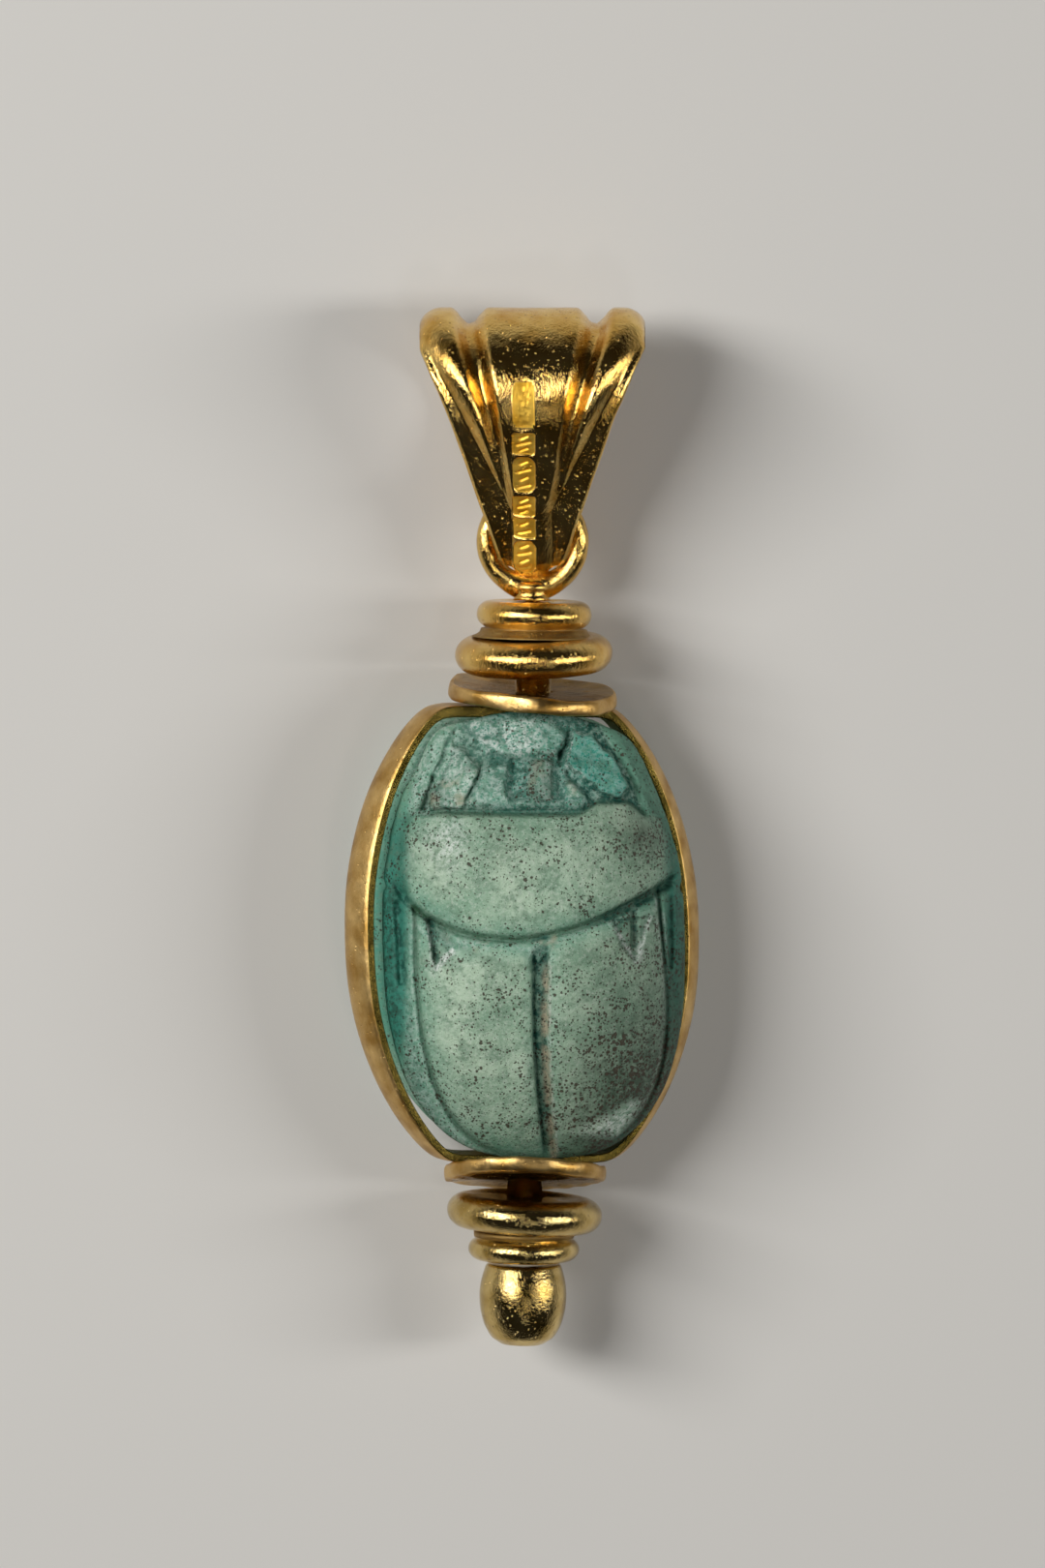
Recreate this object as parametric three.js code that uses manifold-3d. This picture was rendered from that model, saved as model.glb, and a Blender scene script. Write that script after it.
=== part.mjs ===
// Scarab seal in a gold pendant mount, lying on the flat base of the seal.
// Millimetres, +Z up out of the beetle's back, +Y from the tail to the head and the bail,
// origin on the seal's flat base, below the middle of the lengthwise bore.
import * as THREE from 'three';
import { mergeVertices } from 'three/addons/utils/BufferGeometryUtils.js';
import Module from 'manifold-3d';

const wasm = await Module();
wasm.setup();

// ---------------------------------------------------------------- driving dimensions
const PIN_HEIGHT = 4.3;          // pin axis above the seal's flat base
const PIN_RADIUS = 0.8;
const PIN_TOP = 15.0;            // where the pin ends, under the neck of the eye ring
const PIN_BOTTOM = -14.8;        // where it ends, on the finial
const PIN_SIDES = 16;
const SPINDLE_TURN = 8;          // degrees that the loose spindle is turned towards -X
const RUNNING_HOLE = 0.89;       // holes of the frame that the pin turns in
const SOLDERED_HOLE = 0.9;       // holes of the rings that are soldered on the pin

const SEAL_HALF_WIDTH = 6.85;
const SEAL_HALF_LENGTH = 9.93;
const SEAL_MIDDLE = { x: 0.05, y: -0.1 };    // middle of its oval, from the pin
const SEAL_SKEW = -0.035;        // the oval leans, its head end lies further left
const SEAL_FULLNESS = 2.6;       // exponent of the oval, 2 would be an ellipse
// Its head end is squarer: place of each corner, how far round it the outline grows, and by what share.
const SEAL_CORNERS = [{ x: -4.45, y: 8.9, spread: 1.3, growth: 0.045 }, { x: 4.3, y: 8.7, spread: 1.5, growth: 0.042 }];
const SEAL_HEIGHT = 9.2;
const SEAL_EDGE_HEIGHT = 5.75;   // where the rounded back meets the side
const SEAL_BORE = 1.0;
const SEAL_COLUMNS = 24;
const SEAL_ROWS = 38;
const SEAL_CROWDING = 1.15;      // above 1 the columns stand closer beside the middle
// Down the side: height, and how far the side is cut back there. The legs lie in a waist
// between the back and the plinth, and the gold band runs round in it.
const SIDE_LEVELS = [[5.55, 0.05], [5.42, 0.55], [4.8, 0.75], [2.3, 0.75], [1.6, 0.2], [1.1, 0], [0, 0.08]];

const BAND_HALF_WIDTH = 7.02;    // of the oval that the edges of the inner face follow
const BAND_HALF_LENGTH = 11.4;
const BAND_MIDDLE = { x: -0.3, y: 0.12 };
const BAND_SKEW = -0.028;
const BAND_FULLNESS = 2.1;
const BAND_ROLL = 4;             // degrees that the band is rolled about the pin
const BAND_END_INSIDE = 9.85;    // the oval is cut off flat at both ends, behind the discs
const BAND_HEAD_OUTSIDE = 10.36;
const BAND_TAIL_OUTSIDE = 10.2;
const BAND_EDGE = 0.31;          // thickness that shows at the front edge
const BAND_DOME = 0.76;          // rise of the outer face at the sides
const BAND_CAMBER = 0.35;        // hollow of the inner face at the sides
const BAND_HALF_DEPTH = 1.5;
const BAND_END_DEPTH = 1.1;
const BAND_STEPS = 48;

const DISC_STEPS = 28;
const DISC_THICKNESS = 0.5;
const TOP_DISC = { middle: 10.72, radius: 3.78, dish: 0.14, pitch: -0.4, roll: -0.2, wave: 0.06 };
const BOTTOM_DISC = { middle: -10.85, radius: 3.65, dish: 0.06, pitch: 0.82, roll: -0.08, wave: 0.05 };

// The large rings are soldered a little askew: `pitch` lowers the front, `roll` lifts the right.
const TOP_LARGE_RING = { radius: 3.545, middle: 12.64, height: 1.62, pitch: 4, roll: 2 };
const BOTTOM_LARGE_RING = { radius: 3.5, middle: -12.56, height: 1.54, pitch: 0, roll: -2.4 };
const LARGE_RIM = 0.83;
// The small rings stand on a collar that faces the large ring.
const TOP_SMALL_RING = { radius: 2.585, inner: 14.02, outer: 15.02, collar: 13.72, collarRadius: 2.4 };
const BOTTOM_SMALL_RING = { radius: 2.5, inner: -13.66, outer: -14.72, collar: -13.46, collarRadius: 2.2 };
const SMALL_RIM = 0.6;
const RIM_STEPS = 6;
const ROUND_STEPS = 20;
// Barrel bead under the pin, as radius and place along the pin.
const FINIAL_PROFILE = [[0, -18.62], [0.95, -18.5], [1.42, -18.2], [1.75, -17.6], [1.93, -16.9],
  [1.97, -16.2], [1.9, -15.6], [1.72, -15.0], [1.6, -14.87], [0, -14.87]];

const RING_CENTRE = 17.65;       // eye ring, centre along the pin axis
const RING_RADIUS = 2.06;
const RING_WIRE = 0.46;
const NECK_BOTTOM = 15.05;
const NECK_TOP = 15.8;
const NECK_WAIST = 15.35;
const NECK_RADIUS = 0.85;
const NECK_WAIST_RADIUS = 0.73;
const EYE_SHIFT = -0.12;         // the eye ring is soldered a little to the left

const BAIL_LEAN = 0.9;           // degrees that the bail hangs towards the left
const BAIL_SHEET = 0.42;
const BAIL_FOOT = 17.14;         // centre of the small turn that passes the eye ring
const BAIL_FOOT_RADIUS = 1.04;
const BAIL_HEAD = 24.3;          // centre of the wide turn that the chain runs in
const BAIL_HEAD_RADIUS = 3.87;
const BAIL_WIDEST = 5.02;
const BAIL_FOOT_END = 16.35;     // place where the sheet is BAIL_FOOT_HALF to each side
const BAIL_FOOT_HALF = 1.36;
const BAIL_FLARE = 0.345;        // how fast it widens from there
const BAIL_THROAT = 0.6;         // narrowing inside the eye ring
const FLUTE_DEPTH = 0.7;
const FLUTE_START = 19.0;        // where the two flutes begin as points
const FLUTE_FULL = 27.6;
// From the start of the flutes to the rolled head: middle and half width of each flute,
// where the outer lobe begins to roll over, over what width, and how far.
const FLUTE_MIDDLE = [0.9, 2.83];
const FLUTE_SPREAD = [0.25, 0.88];
const LOBE_START = [0.2, 4.1];
const LOBE_WIDTH = [0.6, 0.92];
const LOBE_DROP = [0.24, 0.5];

const GOLD = 0xd9a441;
const GLAZE = 0x6f9a86;

const WELD = 1e-4;               // points closer than this are one
const DRILL_LENGTH = 60;

const radians = THREE.MathUtils.degToRad;
const { lerp, clamp, smoothstep } = THREE.MathUtils;

// ---------------------------------------------------------------- building closed bodies
function goldMesh(name, geometry, roughness = 0.22) {
  const material = new THREE.MeshStandardMaterial({ color: GOLD, roughness, metalness: 1 });
  const mesh = new THREE.Mesh(geometry, material);
  mesh.name = name;
  return mesh;
}

function bufferGeometry(points, triangles) {
  const geometry = new THREE.BufferGeometry();
  geometry.setAttribute('position', new THREE.Float32BufferAttribute(points, 3));
  geometry.setIndex(triangles);
  return geometry;
}

// A body that closes on itself: `steps` sections round a loop, each of `corners` points.
function loopBody(steps, corners, pointAt) {
  const points = [];
  const triangles = [];
  for (let i = 0; i < steps; i += 1) {
    const next = (i + 1) % steps;
    for (let j = 0; j < corners; j += 1) {
      const side = (j + 1) % corners;
      points.push(...pointAt(i, j));
      const a = i * corners + j;
      const b = next * corners + j;
      const c = next * corners + side;
      const d = i * corners + side;
      triangles.push(a, b, c, a, c, d);
    }
  }
  return bufferGeometry(points, triangles);
}

function toManifold(geometry) {
  const bare = geometry.clone();
  bare.deleteAttribute('normal');
  bare.deleteAttribute('uv');
  const merged = mergeVertices(bare, WELD);
  return new wasm.Manifold(new wasm.Mesh({
    numProp: 3,
    vertProperties: new Float32Array(merged.attributes.position.array),
    triVerts: new Uint32Array(merged.index.array),
  }));
}

function fromManifold(solid) {
  const { vertProperties, triVerts } = solid.getMesh();
  return bufferGeometry(Array.from(vertProperties), Array.from(triVerts));
}

function drillAlongPin(geometry, radius, height) {
  const drill = new THREE.CylinderGeometry(radius, radius, DRILL_LENGTH, PIN_SIDES);
  drill.translate(0, 0, height);
  return fromManifold(toManifold(geometry).subtract(toManifold(drill)));
}

// ---------------------------------------------------------------- the carved seal
// A groove is a smooth trough across the distance from its line.
function groove(distance, halfWidth, depth) {
  return depth * Math.exp(-((distance / halfWidth) ** 2));
}

function distanceToStroke(x, y, [x0, y0], [x1, y1]) {
  const along = ((x - x0) * (x1 - x0) + (y - y0) * (y1 - y0)) / ((x1 - x0) ** 2 + (y1 - y0) ** 2);
  const t = clamp(along, 0, 1);
  return Math.hypot(x - lerp(x0, x1, t), y - lerp(y0, y1, t));
}

const wingLine = (x) => 0.2 + 0.062 * x * x;        // back edge of the thorax shield
const headLine = (x) => 5.55 + 0.01 * x * x;        // front edge of the thorax shield
const wingSeam = (y) => -0.2 + 0.012 * y * y;       // seam between the wing cases
const headSide = (y) => lerp(4.8, 2.6, (y - 5.6) / 4);
const wingSide = (y) => 5.2 - 0.012 * (y + 3) ** 2;
const legSide = (y) => 6.0 - 0.01 * y * y;
// Each kind of cut: half its width and its depth.
const CUTS = {
  wing: [0.3, 0.45], head: [0.28, 0.5], seam: [0.3, 0.45], wingSide: [0.28, 0.35], shoulder: [0.25, 0.2],
  headSide: [0.28, 0.35], cheek: [0.28, 0.3], hollow: [0.4, 0.35], leg: [0.3, 0.3], notch: [0.3, 0.35],
};
const SHIELD_REACH = 5.9;        // how far to each side the cuts of the shield run
const HEAD_REACH = 4.9;
const LEGS_BEGIN = 5.2;
const NOTCH_PLACE = 2.6;         // between the front and the middle leg
const HEAD_SET_BACK = 0.35;      // the head lies lower than the shield
const HOLLOW_LENGTH = 2.2;       // times its width
const CHEEK_CUTS = [
  [[-3.25, 8.8], [-2.4, 7.6]],
  [[-2.4, 7.6], [-3.0, 6.5]],
  [[1.7, 9.5], [1.1, 8.1]],
  [[1.1, 8.1], [2.4, 6.4]],
];
const SHOULDER_CUTS = [
  [[-4.6, 0.9], [-4.5, -1.2]],
  [[-4.5, -1.2], [-3.3, -0.3]],
  [[3.5, 0.6], [4.4, -0.9]],
  [[4.4, -0.9], [4.9, 0.8]],
];
const HEAD_HOLLOWS = [[-0.85, 7.3], [0.95, 7.3]];

function carvedDepth(x, y) {
  const across = Math.abs(x);
  let depth = 0;
  if (across < SHIELD_REACH) depth += groove(y - wingLine(x), ...CUTS.wing);
  if (across < HEAD_REACH) depth += groove(y - headLine(x), ...CUTS.head);
  if (y < wingLine(x)) {
    depth += groove(x - wingSeam(y), ...CUTS.seam);
    depth += groove(across - wingSide(y), ...CUTS.wingSide);
    for (const [start, end] of SHOULDER_CUTS) {
      depth += groove(distanceToStroke(x, y, start, end), ...CUTS.shoulder);
    }
  }
  if (y > headLine(x)) {
    depth += HEAD_SET_BACK * smoothstep(y, 5.6, 6.4);
    depth += groove(across - headSide(y), ...CUTS.headSide);
    for (const [start, end] of CHEEK_CUTS) {
      depth += groove(distanceToStroke(x, y, start, end), ...CUTS.cheek);
    }
    for (const [hollowX, hollowY] of HEAD_HOLLOWS) {
      depth += groove(Math.hypot(x - hollowX, (y - hollowY) / HOLLOW_LENGTH), ...CUTS.hollow);
    }
  }
  if (across > LEGS_BEGIN) {
    depth += groove(across - legSide(y), ...CUTS.leg) * smoothstep(4 - y, 0, 2) * smoothstep(y + 5, 0, 2);
    depth += groove(y - NOTCH_PLACE, ...CUTS.notch);
  }
  return depth;
}

// Distance from the middle of an oval of half sizes 1, which is 1 on its rim.
function ovalNorm(u, v, fullness) {
  return (Math.abs(u) ** fullness + Math.abs(v) ** fullness) ** (1 / fullness);
}

// A square grid drawn onto the seal's oval, its middle rows bent to follow the thorax shield.
function sealPoint(u, v) {
  const roundU = u * Math.sqrt(1 - v * v / 2);
  const roundV = v * Math.sqrt(1 - u * u / 2);
  const reach = Math.hypot(roundU, roundV);
  const fullness = reach > 0 ? reach / ovalNorm(roundU, roundV, SEAL_FULLNESS) : 1;
  const bend = 6 * u * u * (1 - u * u) * (1 - v * v) ** 2;
  const x = SEAL_HALF_WIDTH * roundU * fullness;
  const y = SEAL_HALF_LENGTH * roundV * fullness + bend;
  const out = Math.min(1, ovalNorm(x / SEAL_HALF_WIDTH, y / SEAL_HALF_LENGTH, SEAL_FULLNESS));
  const leanX = x + SEAL_SKEW * y;
  const growth = SEAL_CORNERS.reduce((sum, corner) => {
    const distance = Math.hypot(leanX + SEAL_MIDDLE.x - corner.x, y + SEAL_MIDDLE.y - corner.y);
    return sum + corner.growth * Math.exp(-((distance / corner.spread) ** 2));
  }, 1);
  const placedX = leanX * growth + SEAL_MIDDLE.x;
  const placedY = y * growth + SEAL_MIDDLE.y;
  const dome = (1 - out ** 2.5) ** 0.75;
  const fade = Math.min(1, (1 - out) * 8);
  const height = lerp(SEAL_EDGE_HEIGHT, SEAL_HEIGHT, dome) - carvedDepth(placedX, placedY) * fade;
  return [placedX, placedY, height];
}

function sealGeometry() {
  const points = [];
  const triangles = [];
  const index = (i, j) => j * (SEAL_COLUMNS + 1) + i;
  for (let j = 0; j <= SEAL_ROWS; j += 1) {
    for (let i = 0; i <= SEAL_COLUMNS; i += 1) {
      const side = 2 * i / SEAL_COLUMNS - 1;
      points.push(...sealPoint(Math.sign(side) * Math.abs(side) ** SEAL_CROWDING, 2 * j / SEAL_ROWS - 1));
      if (i < SEAL_COLUMNS && j < SEAL_ROWS) {
        const a = index(i, j);
        const b = index(i + 1, j);
        const c = index(i + 1, j + 1);
        const d = index(i, j + 1);
        triangles.push(a, b, c, a, c, d);
      }
    }
  }
  const rim = [];
  for (let i = 0; i < SEAL_COLUMNS; i += 1) rim.push(index(i, 0));
  for (let j = 0; j < SEAL_ROWS; j += 1) rim.push(index(SEAL_COLUMNS, j));
  for (let i = SEAL_COLUMNS; i > 0; i -= 1) rim.push(index(i, SEAL_ROWS));
  for (let j = SEAL_ROWS; j > 0; j -= 1) rim.push(index(0, j));
  let above = rim;
  for (const [height, cutBack] of SIDE_LEVELS) {
    const level = rim.map((corner) => {
      const x = points[corner * 3] - SEAL_MIDDLE.x;
      const y = points[corner * 3 + 1] - SEAL_MIDDLE.y;
      const scale = 1 - cutBack / Math.hypot(x, y);
      points.push(x * scale + SEAL_MIDDLE.x, y * scale + SEAL_MIDDLE.y, height);
      return points.length / 3 - 1;
    });
    above.forEach((corner, k) => {
      const next = (k + 1) % rim.length;
      triangles.push(corner, level[k], level[next], corner, level[next], above[next]);
    });
    above = level;
  }
  points.push(SEAL_MIDDLE.x, SEAL_MIDDLE.y, 0);
  const centre = points.length / 3 - 1;
  above.forEach((corner, k) => triangles.push(corner, centre, above[(k + 1) % rim.length]));
  return drillAlongPin(bufferGeometry(points, triangles), SEAL_BORE, PIN_HEIGHT);
}

// ---------------------------------------------------------------- the gold band
// Across the strip: where each corner lies between the two edges, and on which face.
const BAND_SECTION = [[1, 'in'], [0.4, 'in'], [-0.4, 'in'], [-1, 'in'],
  [-1, 'out'], [-0.55, 'out'], [0, 'out'], [0.55, 'out'], [1, 'out']];

function bandGeometry() {
  const rollCos = Math.cos(radians(BAND_ROLL));
  const rollSin = Math.sin(radians(BAND_ROLL));
  const pointAt = (i, j) => {
    const angle = 2 * Math.PI * i / BAND_STEPS;
    const cos = Math.cos(angle);
    const sin = Math.sin(angle);
    const size = ovalNorm(cos, sin, BAND_FULLNESS);
    const side = Math.abs(cos / size);
    const normalX = Math.sign(cos) * side ** (BAND_FULLNESS - 1) / BAND_HALF_WIDTH;
    const normalY = Math.sign(sin) * Math.abs(sin / size) ** (BAND_FULLNESS - 1) / BAND_HALF_LENGTH;
    const normal = Math.hypot(normalX, normalY);
    const [across, face] = BAND_SECTION[j];
    const crown = (1 - across * across) * side ** 1.5;
    const rise = face === 'in' ? BAND_CAMBER * crown : BAND_EDGE + BAND_DOME * crown;
    const head = face === 'in' ? BAND_END_INSIDE : BAND_HEAD_OUTSIDE;
    const tail = face === 'in' ? BAND_END_INSIDE : BAND_TAIL_OUTSIDE;
    const depth = lerp(BAND_END_DEPTH, BAND_HALF_DEPTH, side) * across;
    const y = clamp(BAND_HALF_LENGTH * sin / size + BAND_MIDDLE.y + rise * normalY / normal, -tail, head);
    const x = BAND_HALF_WIDTH * cos / size + BAND_MIDDLE.x + BAND_SKEW * y + rise * normalX / normal;
    return [x * rollCos + depth * rollSin, y, depth * rollCos - x * rollSin];
  };
  return drillAlongPin(loopBody(BAND_STEPS, BAND_SECTION.length, pointAt), RUNNING_HOLE, 0);
}

// ---------------------------------------------------------------- the hammered discs
// Across each disc: share of its radius, and on which face. The first corner is at the hole.
const DISC_SECTION = [[0.25, 1], [0.6, 1], [0.96, 1], [1, 0.4], [1, -0.4], [0.96, -1], [0.6, -1], [0.25, -1]];
const WAVE_START = 0.6;

function discGeometry({ middle, radius, dish, pitch, roll, wave }) {
  const pointAt = (i, j) => {
    const angle = 2 * Math.PI * i / DISC_STEPS;
    const [share, face] = DISC_SECTION[j];
    const reach = share === DISC_SECTION[0][0] ? RUNNING_HOLE / radius : share;
    const bend = dish + roll * Math.cos(angle) + pitch * Math.sin(angle)
      + wave * Math.cos(3 * angle + WAVE_START);
    return [
      radius * reach * Math.cos(angle),
      middle + bend * reach * reach + face * DISC_THICKNESS / 2,
      radius * reach * Math.sin(angle),
    ];
  };
  return loopBody(DISC_STEPS, DISC_SECTION.length, pointAt);
}

// ---------------------------------------------------------------- turned rings on the pin
const toVectors = (profile) => profile.map(([radius, place]) => new THREE.Vector2(radius, place));

// A rounded rim, from its lower to its upper end.
function rimProfile(radius, bottom, top, rim) {
  const profile = [];
  for (let k = 0; k <= RIM_STEPS; k += 1) {
    const angle = Math.PI * (k / RIM_STEPS - 0.5);
    const place = lerp(bottom, top, (1 + Math.sin(angle)) / 2);
    profile.push([radius - rim + rim * Math.cos(angle), place]);
  }
  return profile;
}

// Turn a profile that closes on itself at the bore.
function boredGeometry(profile, bottom, top) {
  const closed = [[SOLDERED_HOLE, bottom], ...profile, [SOLDERED_HOLE, top], [SOLDERED_HOLE, bottom]];
  return new THREE.LatheGeometry(toVectors(closed), ROUND_STEPS);
}

function largeRing(name, { radius, middle, height, pitch, roll }) {
  const half = height / 2;
  const ring = goldMesh(name, boredGeometry(rimProfile(radius, -half, half, LARGE_RIM), -half, half));
  ring.position.y = middle;
  ring.rotation.set(radians(pitch), 0, radians(roll));
  return ring;
}

function smallRing(name, { radius, inner, outer, collar, collarRadius }) {
  const rim = rimProfile(radius, Math.min(inner, outer), Math.max(inner, outer), SMALL_RIM);
  const step = [[collarRadius, collar], [collarRadius, inner]];
  return goldMesh(name, outer > inner
    ? boredGeometry([...step, ...rim], collar, outer)
    : boredGeometry([...rim, ...step.reverse()], outer, collar));
}

// ---------------------------------------------------------------- eye ring and bail
function eyeRingGeometry() {
  const ring = new THREE.TorusGeometry(RING_RADIUS, RING_WIRE, 8, 26);
  ring.translate(0, RING_CENTRE, 0);
  const profile = [[0, NECK_BOTTOM], [NECK_RADIUS, NECK_BOTTOM], [NECK_WAIST_RADIUS, NECK_WAIST],
    [NECK_RADIUS, NECK_TOP], [0, NECK_TOP]];
  const neck = new THREE.LatheGeometry(toVectors(profile), 12);
  return fromManifold(toManifold(ring).add(toManifold(neck))).translate(EYE_SHIFT, 0, 0);
}

// Side view of the folded sheet: a belt round a small turn and a wide turn.
function bailStations() {
  const slope = Math.asin((BAIL_HEAD_RADIUS - BAIL_FOOT_RADIUS) / (BAIL_HEAD - BAIL_FOOT));
  const wide = [BAIL_HEAD, BAIL_HEAD_RADIUS];
  const small = [BAIL_FOOT, BAIL_FOOT_RADIUS];
  const stations = [];
  const run = (from, to, fromAngle, toAngle, count) => {
    for (let k = 0; k < count; k += 1) {
      const angle = lerp(fromAngle, toAngle, k / count);
      const centre = lerp(from[0], to[0], k / count);
      const radius = lerp(from[1], to[1], k / count);
      const normalY = Math.sin(angle);
      const normalZ = Math.cos(angle);
      stations.push({ y: centre + radius * normalY, z: radius * normalZ, normalY, normalZ });
    }
  };
  run(wide, wide, -slope, Math.PI + slope, 15);
  run(wide, small, Math.PI + slope, Math.PI + slope, 7);
  run(small, small, Math.PI + slope, 2 * Math.PI - slope, 8);
  run(small, wide, 2 * Math.PI - slope, 2 * Math.PI - slope, 7);
  return stations;
}

function bailHalfWidth(y, z) {
  const throat = y < BAIL_FOOT ? BAIL_THROAT * (1 - smoothstep(Math.abs(z), 0.2, 0.9)) : 0;
  return Math.min(BAIL_WIDEST, BAIL_FOOT_HALF + BAIL_FLARE * (y - BAIL_FOOT_END)) - throat;
}

const fluteShare = (y) => clamp((y - FLUTE_START) / (FLUTE_FULL - FLUTE_START), 0, 1);

// The sheet sinks into two flutes, and its outer lobes and its foot roll over at the edges.
function bailSink(x, y) {
  const across = Math.abs(x);
  const along = fluteShare(y);
  const off = Math.min(1, Math.abs(across - lerp(...FLUTE_MIDDLE, along)) / lerp(...FLUTE_SPREAD, along));
  const flute = FLUTE_DEPTH * Math.min(1, along * 1.6) * (0.5 + 0.5 * Math.cos(Math.PI * off));
  const edge = Math.max(0, across - lerp(...LOBE_START, along)) / lerp(...LOBE_WIDTH, along);
  return flute + lerp(...LOBE_DROP, along) * Math.min(1.4, edge * edge);
}

// Columns across the sheet, set where the flutes and the lobes turn.
function bailColumns(y, z) {
  const half = bailHalfWidth(y, z);
  const along = fluteShare(y);
  const middle = Math.min(lerp(...FLUTE_MIDDLE, along), half * 0.55);
  const spread = Math.min(lerp(...FLUTE_SPREAD, along), half * 0.2) * 0.95;
  const right = [(middle - spread) / 2, middle - spread, middle, middle + spread, half * 0.85, half];
  return [...right.map((x) => -x).reverse(), 0, ...right];
}

function bailGeometry() {
  const stations = bailStations();
  const count = bailColumns(BAIL_HEAD, 0).length;
  const pointAt = (i, j) => {
    const { y, z, normalY, normalZ } = stations[i];
    const inner = j < count;
    const x = bailColumns(y, z)[inner ? j : 2 * count - 1 - j];
    const sink = bailSink(x, y) + (inner ? BAIL_SHEET : 0);
    return [x, y - normalY * sink, z - normalZ * sink];
  };
  return loopBody(stations.length, 2 * count, pointAt)
    .translate(0, -RING_CENTRE, 0)
    .rotateZ(radians(BAIL_LEAN))
    .translate(EYE_SHIFT, RING_CENTRE, 0);
}

// ---------------------------------------------------------------- the whole pendant
const pendant = new THREE.Group();

const scarab = new THREE.Mesh(
  sealGeometry(),
  new THREE.MeshStandardMaterial({ color: GLAZE, roughness: 0.45, metalness: 0 }),
);
scarab.name = 'scarab';
pendant.add(scarab);

const frame = new THREE.Group();
frame.position.z = PIN_HEIGHT;
frame.add(goldMesh('band', bandGeometry(), 0.4));
frame.add(goldMesh('top_disc', discGeometry(TOP_DISC), 0.28));
frame.add(goldMesh('bottom_disc', discGeometry(BOTTOM_DISC), 0.28));
pendant.add(frame);

const spindle = new THREE.Group();
spindle.position.z = PIN_HEIGHT;
spindle.rotation.y = radians(-SPINDLE_TURN);
const pinGeometry = new THREE.CylinderGeometry(PIN_RADIUS, PIN_RADIUS, PIN_TOP - PIN_BOTTOM, PIN_SIDES);
pinGeometry.translate(0, (PIN_TOP + PIN_BOTTOM) / 2, 0);
spindle.add(goldMesh('pin', pinGeometry));
spindle.add(largeRing('top_large_ring', TOP_LARGE_RING));
spindle.add(smallRing('top_small_ring', TOP_SMALL_RING));
spindle.add(largeRing('bottom_large_ring', BOTTOM_LARGE_RING));
spindle.add(smallRing('bottom_small_ring', BOTTOM_SMALL_RING));
spindle.add(goldMesh('finial', new THREE.LatheGeometry(toVectors(FINIAL_PROFILE), ROUND_STEPS)));
spindle.add(goldMesh('eye_ring', eyeRingGeometry()));
spindle.add(goldMesh('bail', bailGeometry(), 0.18));
pendant.add(spindle);

export default pendant;
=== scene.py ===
import math
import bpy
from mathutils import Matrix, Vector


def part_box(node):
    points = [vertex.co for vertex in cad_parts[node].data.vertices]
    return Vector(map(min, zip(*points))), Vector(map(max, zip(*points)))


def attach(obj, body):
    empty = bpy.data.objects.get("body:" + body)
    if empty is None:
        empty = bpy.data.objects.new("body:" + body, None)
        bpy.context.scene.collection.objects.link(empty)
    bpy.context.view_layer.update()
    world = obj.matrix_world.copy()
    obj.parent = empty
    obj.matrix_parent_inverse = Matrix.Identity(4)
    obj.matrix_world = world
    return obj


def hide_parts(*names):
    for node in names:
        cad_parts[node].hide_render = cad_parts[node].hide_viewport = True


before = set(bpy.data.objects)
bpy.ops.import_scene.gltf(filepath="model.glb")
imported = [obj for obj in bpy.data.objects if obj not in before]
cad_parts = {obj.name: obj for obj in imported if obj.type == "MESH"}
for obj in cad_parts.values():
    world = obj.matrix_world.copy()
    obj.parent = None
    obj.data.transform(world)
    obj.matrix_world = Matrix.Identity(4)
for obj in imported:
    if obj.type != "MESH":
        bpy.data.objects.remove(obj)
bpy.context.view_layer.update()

from types import SimpleNamespace

import bpy
import numpy as np
from mathutils import Matrix, Vector

# ---------------------------------------------------------------- the seal
# A beetle carved in soft pale stone with a flat oval base, glazed green and fired. The glaze
# has pooled dark teal in the cuts, worn to a satin skin on the back, and is peppered with
# small brown pits. It is bored lengthwise for the pin.

MM = 0.001
pin_low, pin_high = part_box("pin")
seal_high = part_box("scarab")[1]
PIN_HEIGHT = (pin_low[2] + pin_high[2]) / 2 / MM
SEAL_HEIGHT = seal_high[2] / MM
SEAL_HALF_WIDTH = 6.85
SEAL_HALF_LENGTH = 9.93
SEAL_MIDDLE = (0.05, -0.1)
SEAL_SKEW = -0.035           # the oval leans, its head end lies further left
SEAL_FULLNESS = 2.6          # exponent of the oval, 2 would be an ellipse
# Its head end is squarer: place of each corner, how far round it the outline grows, by what share.
SEAL_CORNERS = [(-4.45, 8.9, 1.3, 0.045), (4.3, 8.7, 1.5, 0.042)]
SEAL_EDGE_HEIGHT = 5.75      # where the rounded back meets the side
SEAL_COLUMNS = 216
SEAL_ROWS = 310
# Heights of the rings of points down its side, closer where the side turns.
SEAL_SIDE_LEVELS = (5.55, 5.45, 5.3, 5.1, 4.8, 4.4, 4.0, 3.6, 3.2, 2.8, 2.4, 2.1, 1.8, 1.5, 1.2, 0.6,
                    0.15, 0.0)
SEAL_BASE_SHARE = 0.955      # size of the flat base against the oval


def rise(low, high, value):
    """Smooth step from 0 at `low` to 1 at `high`, which may also be the smaller of the two."""
    t = np.clip((value - low) / (high - low), 0, 1)
    return t * t * (3 - 2 * t)


def trough(distance, half_width):
    """1 where `distance` is 0, falling off to both sides of it."""
    return np.exp(-((distance / half_width) ** 2))


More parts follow.
